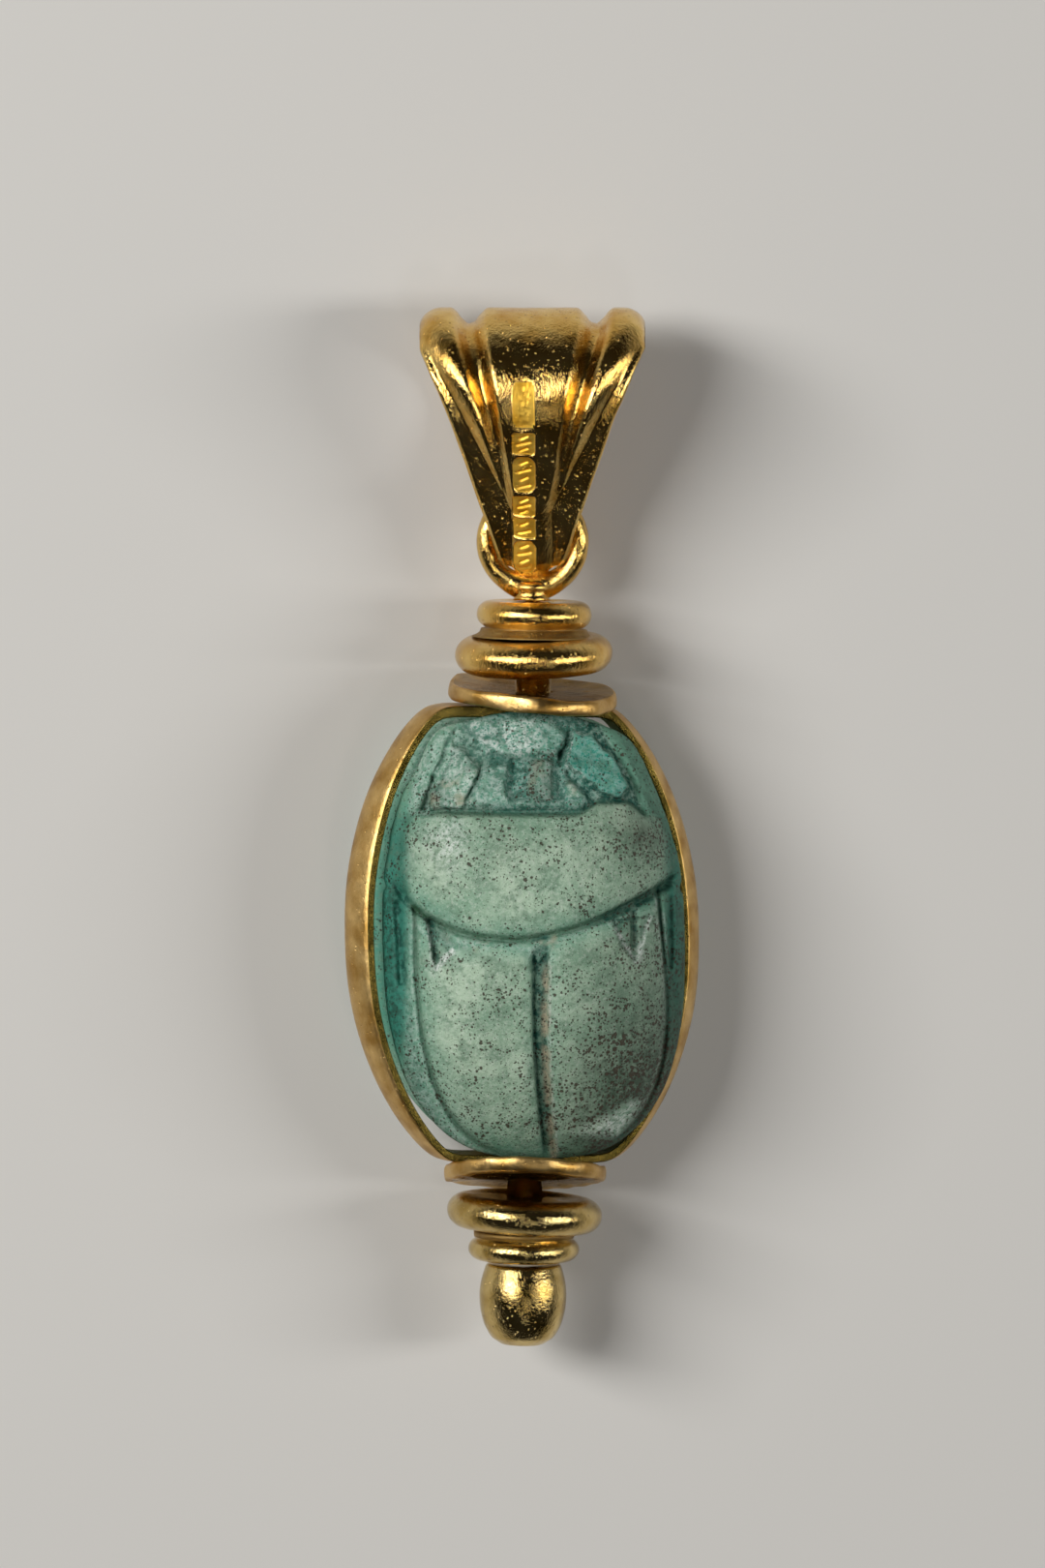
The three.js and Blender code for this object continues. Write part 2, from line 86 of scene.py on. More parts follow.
def lattice_noise(x, y, cell, seed):
    """Smooth random heights from -1 to 1 on a lattice of `cell` millimetres."""
    table = np.random.default_rng(seed).random((64, 64)) * 2 - 1
    column, row = x / cell + 640, y / cell + 640
    i, j = np.floor(column).astype(int), np.floor(row).astype(int)
    s, t = rise(0, 1, column - i), rise(0, 1, row - j)
    low = table[i % 64, j % 64] * (1 - s) + table[(i + 1) % 64, j % 64] * s
    high = table[i % 64, (j + 1) % 64] * (1 - s) + table[(i + 1) % 64, (j + 1) % 64] * s
    return low * (1 - t) + high * t


def rough_noise(x, y, cell, seed):
    octaves = [lattice_noise(x, y, cell / 2 ** k, seed + k) / 2 ** k for k in range(4)]
    return sum(octaves) / 1.9


def plate(x, y, corners, soft):
    """1 inside a convex plate of `corners` (anticlockwise), 0 outside, over a soft edge."""
    inside = np.full(x.shape, 1e9)
    for (ax, ay), (bx, by) in zip(corners, corners[1:] + corners[:1]):
        length = math.hypot(bx - ax, by - ay)
        inside = np.minimum(inside, ((bx - ax) * (y - ay) - (by - ay) * (x - ax)) / length)
    return rise(-soft, soft, inside)


def stroke(x, y, start, end, half_width):
    """1 along the line from `start` to `end`, falling off beside it."""
    (ax, ay), (bx, by) = start, end
    along = ((x - ax) * (bx - ax) + (y - ay) * (by - ay)) / ((bx - ax) ** 2 + (by - ay) ** 2)
    t = np.clip(along, 0, 1)
    return trough(np.hypot(x - ax - t * (bx - ax), y - ay - t * (by - ay)), half_width)


def oval_norm(u, v, fullness):
    """1 on the outline of an oval of half size 1, less inside it."""
    return (np.abs(u) ** fullness + np.abs(v) ** fullness) ** (1 / fullness)


def oval_grid(columns, rows):
    """A square grid drawn onto the oval, its middle rows bent to follow the shield."""
    u, v = np.meshgrid(np.linspace(-1, 1, columns + 1), np.linspace(-1, 1, rows + 1))
    round_u = u * np.sqrt(1 - v * v / 2)
    round_v = v * np.sqrt(1 - u * u / 2)
    reach = np.hypot(round_u, round_v)
    fullness = reach / np.maximum(oval_norm(round_u, round_v, SEAL_FULLNESS), 1e-9)
    bend = 6 * u * u * (1 - u * u) * (1 - v * v) ** 2
    return SEAL_HALF_WIDTH * round_u * fullness, SEAL_HALF_LENGTH * round_v * fullness + bend


def wing_line(x):
    """Back edge of the thorax shield: a cut hollow that climbs to both sides."""
    off = np.abs(x + 1.2)
    return 0.24 + np.where(x < -1.2, 0.028 * off ** 2.6, 0.11 * off ** 1.57)


def head_line(x):
    """Front edge of the shield, stepping forward under the right cheek."""
    return 5.68 + 0.53 * rise(1.5, 2.7, x) - 0.6 * rise(3.9, 4.9, x) - 0.15 * rise(-4.4, -5.1, x)


def wing_seam(y):
    return -0.03 + 0.0151 * np.maximum(0, -y - 2) ** 2


# Raised plates of the head, their corners anticlockwise.
LEFT_CHEEK = [(-5.05, 5.85), (-3.5, 5.95), (-2.72, 7.58), (-3.43, 8.4), (-3.9, 8.7), (-4.55, 7.61),
              (-4.87, 6.76)]
RIGHT_CHEEK = [(1.9, 7.25), (3.5, 6.35), (4.1, 6.85), (3.62, 7.84), (2.45, 9.05), (1.6, 9.2), (1.2, 7.95)]
BROW = [(-2.45, 8.2), (0.75, 8.25), (1.05, 9.05), (0.24, 9.7), (-2.8, 9.55), (-3.1, 9.15)]
HEAD_BLOCKS = [
    [(-3.2, 6.15), (-1.5, 6.3), (-1.42, 7.75), (-2.55, 7.6)],
    [(-0.55, 6.2), (0.55, 6.3), (0.62, 8.1), (-0.5, 8.05)],
    [(1.25, 6.35), (2.05, 6.3), (1.25, 7.2)],
]
# Cuts between them: start, end, half width and depth.
HEAD_CUTS = [
    ((1.62, 9.5), (1.02, 8.4), 0.15, 0.22), ((1.02, 8.4), (1.37, 7.45), 0.14, 0.2),
    ((1.37, 7.45), (2.35, 6.3), 0.17, 0.24), ((-1.15, 8.05), (-1.2, 6.55), 0.17, 0.24),
    ((0.95, 8.3), (0.95, 6.5), 0.14, 0.2), ((-2.5, 7.8), (-3.3, 6.1), 0.11, 0.14),
    ((-2.55, 7.7), (-3.4, 8.6), 0.11, 0.1), ((-2.4, 7.95), (0.7, 8.2), 0.1, 0.1),
    ((-3.3, 9.7), (-4.1, 8.7), 0.12, 0.14), ((-4.1, 8.7), (-4.85, 7.2), 0.13, 0.16),
    ((-4.85, 7.2), (-5.2, 5.9), 0.13, 0.16),
]
DEEPEST_HEAD_CUT = 0.24
# Shoulder points: a small sunk triangle each, and the slot in it.
SHOULDERS = [[(-4.66, -1.36), (-3.85, -0.54), (-4.1, 0.6), (-5.1, 1.05)],
             [(4.32, -0.9), (4.75, 0.1), (5.05, 1.2), (3.18, 1.05), (3.56, -0.09)]]
SHOULDER_SLOTS = [((-4.78, 0.8), (-4.6, -0.75)), ((4.24, 1.35), (4.27, -0.1))]
# Legs along the rim: start, end, half width and depth of each cut; one stands up instead.
LEG_SLOT = ((-6.22, 1.5), (-5.98, -2.0), 0.2, 0.42)
LEG_CUTS = [
    LEG_SLOT, ((6.1, 1.9), (6.14, -1.2), 0.12, 0.24), ((5.75, 1.4), (6.0, -3.8), 0.1, -0.08),
    ((-6.0, 2.0), (-7.0, 2.3), 0.16, 0.22), ((5.7, 2.4), (6.8, 2.5), 0.13, 0.22),
    ((-5.9, 5.2), (-6.3, 3.4), 0.2, 0.1),
]
# Chipped white edges of the shoulder points and of one leg: start, end, half width, strength.
PALE_EDGES = [
    ((4.35, -0.85), (5.0, 1.1), 0.1, 1.3), ((4.3, -0.8), (3.4, 0.6), 0.09, 1.3),
    ((-4.66, -1.3), (-3.9, -0.4), 0.12, 1.4), ((-5.0, 0.9), (-4.7, -1.1), 0.09, 1.2),
    ((5.7, 1.2), (6.0, -3.8), 0.1, 0.5),
]
SCAB = [(2.0, -8.6), (4.0, -9.0), (5.0, -7.3), (4.4, -7.2)]    # a patch of crust beside the tail


def border(inside, width):
    """1 at the edge of a plate, falling to 0 at `width` inside it."""
    return np.clip(1 - inside / width, 0, 1) ** 2


def carve_back(x, y):
    """Height of the carving on the rounded back, and which carved part each point lies in."""
    across = np.abs(x)
    behind = wing_line(x) - y
    ahead = y - head_line(x)
    on_wings = rise(-0.05, 0.2, behind)
    on_head = rise(-0.1, 0.14, ahead)
    drift = 0.05 * rough_noise(x, y, 1.3, 17)
    grain = rough_noise(x, y, 0.9, 11)
    height = -0.05 * rough_noise(x, y, 3.2, 71)

    # the thorax shield ends in a cut all round, wider and deeper at the shoulders, most at the right
    in_shield = np.minimum(rise(0.1, -0.05, behind), rise(0.1, -0.05, ahead))
    height -= 0.24 * in_shield * border(-behind, 1.1) + 0.14 * in_shield * border(-ahead, 0.7)
    wing_depth = 0.3 + 0.16 * rise(2.0, 4.2, x) + 0.08 * rise(-3.6, -4.6, x)
    wing_width = 0.13 + 0.12 * rise(1.8, 4.0, x) + 0.05 * rise(-3.0, -4.4, x)
    height -= wing_depth * trough(behind - 0.12 + drift, wing_width) * rise(6.4, 5.9, across)
    head_side = rise(5.2, 4.7, across) * (1 - 0.5 * rise(1.8, 2.6, x))
    height -= 0.26 * trough(ahead - 0.08 + drift, 0.14) * head_side
    shield_side = np.hypot(x / np.where(x < 0, 6.08, 6.1), (y - 3.6) / 4.6)
    beside = rise(0.97, 1.06, shield_side) * rise(-0.3, 0.3, -behind) * rise(0.3, -0.3, ahead)
    height -= 0.13 * beside

    # wing cases: two smooth plates, a hinge strip in front, a flat-bottomed seam between
    square_x = x - SEAL_MIDDLE[0] - SEAL_SKEW * (y - SEAL_MIDDLE[1])
    side_limit = np.where(x < 0, 5.48, 5.5 + 0.1 * np.maximum(0, 1 - y))
    wings_out = (oval_norm(square_x / side_limit, y / 9.9, SEAL_FULLNESS) - 1) * side_limit
    seam = x - wing_seam(y) + 0.6 * drift
    seam_half = 0.37 - 0.008 * np.clip(-y - 1, 0, 9)
    beside_seam = np.abs(seam) - seam_half
    front_corner = np.maximum(0, 1 - np.abs(seam) / 1.3)
    hinge = np.where(x < 0, 0.5 + 0.45 * rise(-2.2, -4.0, x), 0.42 + 0.2 * rise(2.5, 3.6, x))
    hinge = hinge + 0.95 * front_corner ** 2.5
    in_plate = rise(hinge - 0.12, hinge + 0.12, behind + drift) * rise(0.1, -0.14, wings_out)
    in_seam = rise(seam_half + 0.06, seam_half - 0.08, np.abs(seam)) * on_wings
    height -= 0.2 * on_wings * (1 - in_plate) * rise(0.9, 0.3, wings_out)
    height -= 0.16 * in_plate * (border(behind - hinge, 0.7) + border(beside_seam, 0.7))
    height -= 0.16 * in_plate * border(-wings_out, 0.9)
    height -= 0.3 * in_seam * rise(0.3, 1.2, behind) * (1 - 0.35 * rise(-7, -9.5, y))
    height -= 0.13 * trough(seam + seam_half - 0.1, 0.12) * rise(0.5, 1.3, behind)
    ridge = trough(seam - seam_half - 0.05, 0.07) * rise(0.6, 1.4, behind)
    height += 0.06 * ridge * (1 + grain)
    height -= (0.16 + 0.06 * rise(2, 4, x)) * trough(wings_out - 0.03, 0.085) * on_wings
    height += 0.05 * trough(wings_out - 0.24, 0.1) * on_wings

    # shoulder points: a small sunk triangle with a slot and a chipped tip
    for corners, slot in zip(SHOULDERS, SHOULDER_SLOTS):
        point = plate(x, y, corners, 0.09)
        height -= 0.2 * point
        height += 0.1 * trough((point - 0.5) * 2, 0.5) * on_wings
        height -= 0.3 * stroke(x, y, *slot, 0.15)
    height += 0.08 * trough(np.hypot(x + 4.68, (y + 1.25) * 0.8), 0.16)
    height += 0.07 * trough(np.hypot(x - 4.4, y + 0.75), 0.14)

    # head: cheeks, brow and small blocks stand on a floor that is cut back, all of them uneven
    u, v = x + 0.3 * rough_noise(x, y, 1.0, 41), y + 0.3 * rough_noise(x, y, 1.0, 43)
    left, right = plate(u, v, LEFT_CHEEK, 0.14), plate(u, v, RIGHT_CHEEK, 0.09)
    brow = plate(u, v, BROW, 0.22)
    blocks = np.maximum.reduce([plate(u, v, corners, 0.13) for corners in HEAD_BLOCKS])
    low_strip = trough(ahead - 0.5, 0.16) * rise(-4.2, -3.6, u) * rise(2.2, 1.6, u)
    plates = np.maximum.reduce([left * 0.82, right, brow * 0.9, blocks * 0.74, low_strip * 0.55])
    height += (0.3 * plates - 0.36) * on_head
    cheek_line = np.where(u < 0, 5.23 - 0.49 * (v - 5.68), 4.65 - 0.28 * (v - 5.9) - 0.07 * (v - 5.9) ** 2)
    beyond = across - cheek_line
    outside_head = rise(-0.1, 0.1, beyond)
    height += 0.3 * on_head * outside_head * rise(0, 0.5, beyond)
    height -= 0.16 * trough(beyond, 0.16) * on_head
    head_cuts = np.zeros_like(x)
    for start, end, half_width, depth in HEAD_CUTS:
        line = stroke(u, v, start, end, half_width)
        height -= depth * line
        head_cuts = np.maximum(head_cuts, line * depth / DEEPEST_HEAD_CUT)
    height += 0.07 * stroke(u, v, (1.2, 8.0), (1.75, 7.4), 0.07)

    # legs along the rim
    for start, end, half_width, depth in LEG_CUTS:
        height -= depth * stroke(x, y, start, end, half_width)
    height -= 0.22 * trough(wings_out - 0.33, 0.13) * rise(-4.6, -6.6, y) * rise(1.0, 2.5, x)

    # chisel marks and chips on the cut-back parts, hardly any on the polished plates
    worn = np.clip(on_head + 0.7 * beside + 0.8 * on_wings * (1 - in_plate), 0, 1)
    height += 0.11 * worn * grain + 0.02 * rough_noise(x, y, 2.2, 5) + 0.012 * grain
    height += 0.06 * worn * rough_noise(x, y, 0.35, 31)
    return height, SimpleNamespace(
        behind=behind, ahead=ahead, on_wings=on_wings, on_head=on_head, in_shield=in_shield,
        shield_side=shield_side, beside=beside, wings_out=wings_out, hinge=hinge, seam=seam,
        seam_half=seam_half, beside_seam=beside_seam, in_plate=in_plate, in_seam=in_seam, ridge=ridge,
        left=left, right=right, brow=brow, blocks=blocks, plates=plates, head_cuts=head_cuts,
        outside_head=outside_head, worn=worn)


def glaze_skins(x, y, height, at):
    """How much of each kind of skin the glaze has at each point of the back, with the painted shade on its
    right side and lower end.
    """
    across = np.abs(x)
    off_head = at.outside_head * at.on_head
    rim = rise(5.5, 6.1, across) * rise(7, 4, np.abs(y))

    # dark glass stands in whatever is cut deep, in the slots and along the rim
    deep = rise(0.13, 0.4, -height + 0.12 * (at.on_head - off_head)) * (1 - off_head)
    dark_here = 0.25 + rise(1.4, 3.4, x) + 0.75 * at.in_seam + 0.5 * at.on_head + rise(5.6, 5.9, across)
    hollow = np.maximum.reduce([
        deep * np.clip(dark_here, 0, 1), stroke(x, y, *LEG_SLOT[:3]), at.head_cuts,
        (0.15 + 0.35 * (x > 0)) * off_head + 0.4 * at.beside,
        0.55 * rise(0.1, 0.6, at.wings_out) * at.on_wings,
        (0.85 - 0.4 * rise(1.5, 3, y)) * rim]
        + [stroke(x, y, *slot, 0.22) for slot in SHOULDER_SLOTS]
        + [0.45 * plate(x, y, corners, 0.2) for corners in SHOULDERS])

    # mossy dark green lies along the cuts round the shield and the wing cases
    moss = trough(at.behind - 0.1, 0.22) * rise(5.9, 5.5, across)
    moss += 0.8 * trough(at.ahead - 0.06, 0.14) * rise(5, 4.5, across)
    moss += trough(at.wings_out - 0.03, 0.1) * at.on_wings + 0.4 * trough(at.shield_side - 1.02, 0.03)

    # fresh teal glaze is left on the right cheek, the floor of the head and the rim, and pools a
    # little along every cut
    pool = at.in_shield * (border(-at.behind, 1.4) + 0.6 * border(-at.ahead, 1.0))
    pool += at.in_shield * border(1 - at.shield_side, 0.25) + at.in_plate * border(-at.wings_out, 1.3)
    pool += at.in_plate * (border(at.behind - at.hinge, 1.0) + 0.6 * border(at.beside_seam, 0.8))
    teal = np.maximum.reduce([
        at.right, 0.6 * (1 - at.plates) * at.on_head * rise(2.6, 2.0, across), 0.5 * at.brow,
        0.25 * at.blocks, 0.7 * stroke(x, y, (-6.7, 0.5), (-6.3, -4.5), 0.5), 0.75 * rim,
        0.36 * np.clip(pool, 0, 1)])

    # chalky crust clings to the rough parts, the head and chipped edges
    scab = plate(x, y, SCAB, 0.4)
    rough = at.worn * (1 - at.outside_head * (x > 0)) * rise(6.0, 5.5, across)
    crust = np.maximum.reduce([
        0.4 * rough * (1 - 0.4 * at.right), 0.6 * at.ridge, 0.8 * at.brow * rise(1.0, -0.6, x),
        0.8 * trough(np.hypot(x + 4.2, (y - 4.4) * 0.7), 0.75), 0.6 * at.left, 0.5 * at.blocks,
        1.3 * trough((at.right - 0.5) * 2, 0.5) * rise(2.4, 1.7, x), 0.75 * scab,
        trough(np.hypot(x + 4.68, (y + 1.2) * 0.7), 0.2), trough(np.hypot(x - 4.55, (y + 0.4) * 0.5), 0.2),
        0.6 * trough(at.wings_out + 0.12, 0.1) * at.on_wings * rise(3, 5, x)]
        + [strength * stroke(x, y, start, end, half) for start, end, half, strength in PALE_EDGES])

    # dusty earth is left in the seam, on the head and in front of the wing cases
    in_joint = trough(at.seam - at.seam_half + 0.1, 0.16) * rise(1.0, 2.5, at.behind)
    in_front = at.on_wings * rise(1.0, 0.5, at.behind) * rise(4.5, 3.5, across)
    earth = 1.3 * in_joint * rise(-0.5, 0.1, rough_noise(x, y, 1.1, 83))
    earth += 0.7 * (at.left + 0.6 * at.blocks) * rise(0.1, 0.5, rough_noise(x, y, 0.7, 89))
    earth += 0.6 * in_front * rise(0.2, 0.6, rough_noise(x, y, 0.6, 97))

    # dull olive stains on corners of the shield and head; down the right side, most of all on the lower
    # right wing case, and toward the tail the same dull olive is painted shade of light falling from the
    # upper left
    stain_and_shade = np.maximum.reduce([0.95 * trough(np.hypot(x - 4.6, y - 4.6), 0.9),
                               0.8 * plate(x, y, HEAD_BLOCKS[1], 0.16),
                               0.7 * trough(np.hypot(x + 4.6, y - 6.3), 0.6)])
    # painted shade: the right side, the lower right wing case and the tail end are darkened
    stain_and_shade += 0.3 * off_head * (x > 0) + 0.5 * rise(0, 5, x) * (1 - at.on_head)
    stain_and_shade += 1.2 * rise(-1, 4, x) * rise(3, -7, y) + 0.4 * rise(-3, -8, y)
    stain_and_shade += 0.25 * rise(1.5, 4.5, y) * (1 - at.on_head)
    stain_and_shade = stain_and_shade * (1 - 0.9 * scab)
    stain_and_shade += 0.35 * np.exp(-((x + 1.9) / 1.1) ** 2 - ((y + 3.2) / 1.6) ** 2)
    polish = at.in_plate + (1 - at.on_wings) * (1 - at.on_head) * rise(1.03, 0.97, at.shield_side)
    return {"hollow": hollow, "moss": moss, "teal": teal, "crust": crust, "stain_and_shade": stain_and_shade,
            "earth": np.clip(earth, 0, 1), "polish": polish}


def side_inset(y, height):
    """How far the side is cut back: three folded legs in the waist above a plain plinth."""
    waist = rise(1.1, 2.3, height) * rise(5.5, 5.0, height)
    legs = [((4.2, 5.0), (8.6, 2.6)), ((1.8, 4.9), (-2.6, 2.4)), ((-0.6, 4.9), (-8.0, 2.6))]
    ridge = sum(stroke(y, height, start, end, 0.34) for start, end in legs)
    return waist * (0.78 - 0.2 * np.clip(ridge, 0, 1)) + 0.08 * rise(0.2, 0, height)


def base_relief(x, y):
    """Shallow cuts of the seal design: a border line and rows of plain strokes."""
    out = oval_norm(x / SEAL_HALF_WIDTH, y / SEAL_HALF_LENGTH, SEAL_FULLNESS)
    cut = trough((out - 0.86) * SEAL_HALF_WIDTH, 0.14)
    rng = np.random.default_rng(7)
    for row in np.arange(-6.6, 6.7, 2.2):
        reach = 4.6 * math.sqrt(1 - (row / 9.2) ** 2)
        cut = np.maximum(cut, stroke(x, y, (-reach, row + 1.1), (reach, row + 1.1), 0.08))
        for place in np.arange(-reach + 0.5, reach - 0.3, 0.95):
            height = 0.35 + 0.3 * rng.random()
            if rng.random() < 0.7:
                ends = (place, row - height), (place, row + height)
            else:
                ends = (place - 0.25, row), (place + 0.25, row)
            cut = np.maximum(cut, stroke(x, y, *ends, 0.11))
    return 0.14 * cut


def seal_mesh():
    """Carved back, side and base as one closed mesh, with each skin of the glaze at every point."""
    oval_x, oval_y = oval_grid(SEAL_COLUMNS, SEAL_ROWS)
    out = np.minimum(oval_norm(oval_x / SEAL_HALF_WIDTH, oval_y / SEAL_HALF_LENGTH, SEAL_FULLNESS), 1)
    x, y = oval_x + SEAL_SKEW * oval_y, oval_y
    growth = 1
    for corner_x, corner_y, spread, share in SEAL_CORNERS:
        distance = np.hypot(x + SEAL_MIDDLE[0] - corner_x, y + SEAL_MIDDLE[1] - corner_y)
        growth = growth + share * trough(distance, spread)
    x, y = x * growth + SEAL_MIDDLE[0], y * growth + SEAL_MIDDLE[1]
    relief, at = carve_back(x, y)
    glaze = glaze_skins(x, y, relief, at)
    dome = (SEAL_HEIGHT - SEAL_EDGE_HEIGHT) * (1 - out ** 2.5) ** 0.75
    top = SEAL_EDGE_HEIGHT + dome + relief * np.minimum(1, (1 - out) * 14)
    # the outline is a little uneven, most of all beside the head
    chipped = 0.3 + rise(2.8, 4.0, y) * rise(9.4, 8.0, y)
    scale = 1 - rise(0.8, 1, out) * (0.002 + 0.012 * chipped * (0.6 + rough_noise(x, y, 1.6, 3)))
    scale -= 0.018 * rise(0.85, 1, out) * trough(y - 2.3, 0.2)
    # the head just reaches over the end of the band
    scale += 0.038 * trough(x + 0.3, 3.5) * rise(7.5, 9.5, y)
    count = x.size
    index = np.arange(count).reshape(x.shape)
    points = [np.stack([x * scale, y * scale, np.minimum(top, SEAL_HEIGHT)], -1).reshape(-1, 3)]
    quads = [index[:-1, :-1], index[:-1, 1:], index[1:, 1:], index[1:, :-1]]
    faces = [np.stack(quads, -1).reshape(-1, 4)]
    rim = np.concatenate([index[0, :-1], index[:-1, -1], index[-1, :0:-1], index[:0:-1, 0]])
    rim_xy = points[0][rim, :2]
    above = rim
    rim_glaze = {name: values.reshape(-1)[rim] for name, values in glaze.items()}
    masks = {name: [values.reshape(-1)] for name, values in glaze.items()}
    for level in SEAL_SIDE_LEVELS:
        height = np.full(len(rim), level)
        inset = side_inset(rim_xy[:, 1], height) + 0.03 + 0.02 * rough_noise(rim_xy[:, 1], height, 0.8, 9)
        reach = np.hypot(rim_xy[:, 0] - SEAL_MIDDLE[0], rim_xy[:, 1] - SEAL_MIDDLE[1])
        ring = (rim_xy - SEAL_MIDDLE) * (1 - inset / reach)[:, None] + SEAL_MIDDLE
        ring = np.concatenate([ring, height[:, None]], 1)
        below = count + np.arange(len(rim))
        faces.append(np.stack([above, below, np.roll(below, -1), np.roll(above, -1)], -1))
        points.append(ring)
        for name in masks:
            depth = rise(0.3, 0.75, inset) if name == "hollow" else rim_glaze[name] * 0.6
            masks[name].append(depth)
        above = below
        count += len(rim)
    # the flat base has half as many rows and columns, so every second rim point meets it
    base_x, base_y = oval_grid(SEAL_COLUMNS // 2, SEAL_ROWS // 2)
    base_z = base_relief(base_x, base_y)
    base = count + np.arange(base_x.size).reshape(base_x.shape)
    flat_x = (base_x + SEAL_SKEW * base_y) * SEAL_BASE_SHARE + SEAL_MIDDLE[0]
    flat_y = base_y * SEAL_BASE_SHARE + SEAL_MIDDLE[1]
    points.append(np.stack([flat_x, flat_y, base_z], -1).reshape(-1, 3))
    quads = [base[1:, :-1], base[1:, 1:], base[:-1, 1:], base[:-1, :-1]]
    faces.append(np.stack(quads, -1).reshape(-1, 4))
    base_rim = np.concatenate([base[0, :-1], base[:-1, -1], base[-1, :0:-1], base[:0:-1, 0]])
    following = np.roll(base_rim, -1)
    first, middle, last = above[0::2], above[1::2], np.roll(above, -2)[0::2]
    triangles = [np.stack(corners, -1) for corners in (
        (first, base_rim, middle), (middle, base_rim, following), (middle, following, last))]
    for name in masks:
        worn_flat = np.full(base_x.shape, float(name == "polish"))
        skin = rise(0.02, 0.1, base_z) if name == "hollow" else worn_flat
        masks[name].append(skin.reshape(-1))
    all_faces = np.concatenate(faces).tolist() + np.concatenate(triangles).tolist()
    joined_masks = {name: np.concatenate(parts) for name, parts in masks.items()}
    return np.concatenate(points), all_faces, joined_masks


def add_piece(name, points, faces, materials, body, masks=None, face_material=None):
    """One closed smooth piece, in millimetres, riding on `body` in place of its plain solid."""
    mesh = bpy.data.meshes.new(name)
    mesh.from_pydata((np.asarray(points) * MM).tolist(), [], faces)
    mesh.shade_smooth()
    for material in materials:
        mesh.materials.append(material)
    if face_material is not None:
        mesh.polygons.foreach_set("material_index", face_material)
    for mask, values in (masks or {}).items():
        layer = mesh.attributes.new(mask, "FLOAT", "POINT")
        layer.data.foreach_set("value", values.astype(np.float32))
    piece = bpy.data.objects.new(name + "_piece", mesh)
    bpy.context.collection.objects.link(piece)
    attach(piece, body)
    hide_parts(name)
    return piece


def linear(hex_colour):
    """sRGB hex such as "#a0b0c0" as linear RGBA."""
    channels = [int(hex_colour[k:k + 2], 16) / 255 for k in (1, 3, 5)]
    return [c / 12.92 if c <= 0.04045 else ((c + 0.055) / 1.055) ** 2.4 for c in channels] + [1.0]


def new_material(name):
    material = bpy.data.materials.new(name)
    material.use_nodes = True
    tree = material.node_tree
    tree.nodes.clear()
    shader = tree.nodes.new("ShaderNodeBsdfPrincipled")
    output = tree.nodes.new("ShaderNodeOutputMaterial")
    tree.links.new(shader.outputs["BSDF"], output.inputs["Surface"])
    return material, tree, shader


def add_node(tree, kind, settings, inputs):
    """Add a node; an input given as a socket is linked, any other value is set."""
    made = tree.nodes.new("ShaderNode" + kind)
    for key, value in settings.items():
        setattr(made, key, value)
    for key, value in inputs.items():
        if isinstance(value, bpy.types.NodeSocket):
            tree.links.new(value, made.inputs[key])
        else:
            made.inputs[key].default_value = value
    return made


# Each noise of the glaze: how many of its features lie in a millimetre, its detail and roughness.
GLAZE_NOISES = {"clouds": (0.45, 4.0, 0.6), "blotches": (1.3, 4.0, 0.65), "crowding": (0.8, 3.0, 0.6),
                "grit": (2.6, 5.0, 0.7), "grains": (5.5, 4.0, 0.8)}
GLAZE_GREENS = ((0.34, "#83a88b"), (0.66, "#b6ceb2"))
# Its layers from below: where they lie, the noise that breaks them up, the range of the noise, how
# much of the layer shows at each end of that range, and its colour.
GLAZE_LAYERS = [
    ("all", "blotches", (0.55, 0.35), (0.0, 0.75), "#708f76"),
    ("all", "grains", (0.5, 0.64), (0.0, 0.45), "#d0ddcb"),
    ("all", "grains", (0.46, 0.32), (0.0, 0.6), "#5f725c"),
    ("rough", "grit", (0.3, 0.6), (0.5, 0.9), "#68a389"),
    ("teal", "grit", (0.36, 0.56), (0.4, 1.0), "#0f8f7b"),
    ("crust", "grains", (0.4, 0.55), (0.0, 1.0), "#f0f6ee"),
    ("moss", "grit", (0.3, 0.6), (0.35, 0.85), "#33563a"),
    ("hollow", "grit", (0.4, 0.6), (1.0, 0.45), "#054a3d"),
    ("earth", "grains", (0.36, 0.54), (0.25, 0.95), "#aba085"),
    # dull olive of the stains, which also paints the shade on the right side and lower end
    ("stain_and_shade", "grit", (0.3, 0.7), (0.31, 0.62), "#3f5240"),
]
# Pits of three sizes: how many cells lie in a millimetre, and the least size of a pit against its cell.
GLAZE_PITS = ((2.8, -0.01), (4.4, 0.03), (7.0, 0.07))
PIT_VARIETY = 0.14           # how much larger than that the largest are
PIT_FRAY = 0.09              # how far grains eat into a pit's edge
PIT_SOFTNESS = 0.04


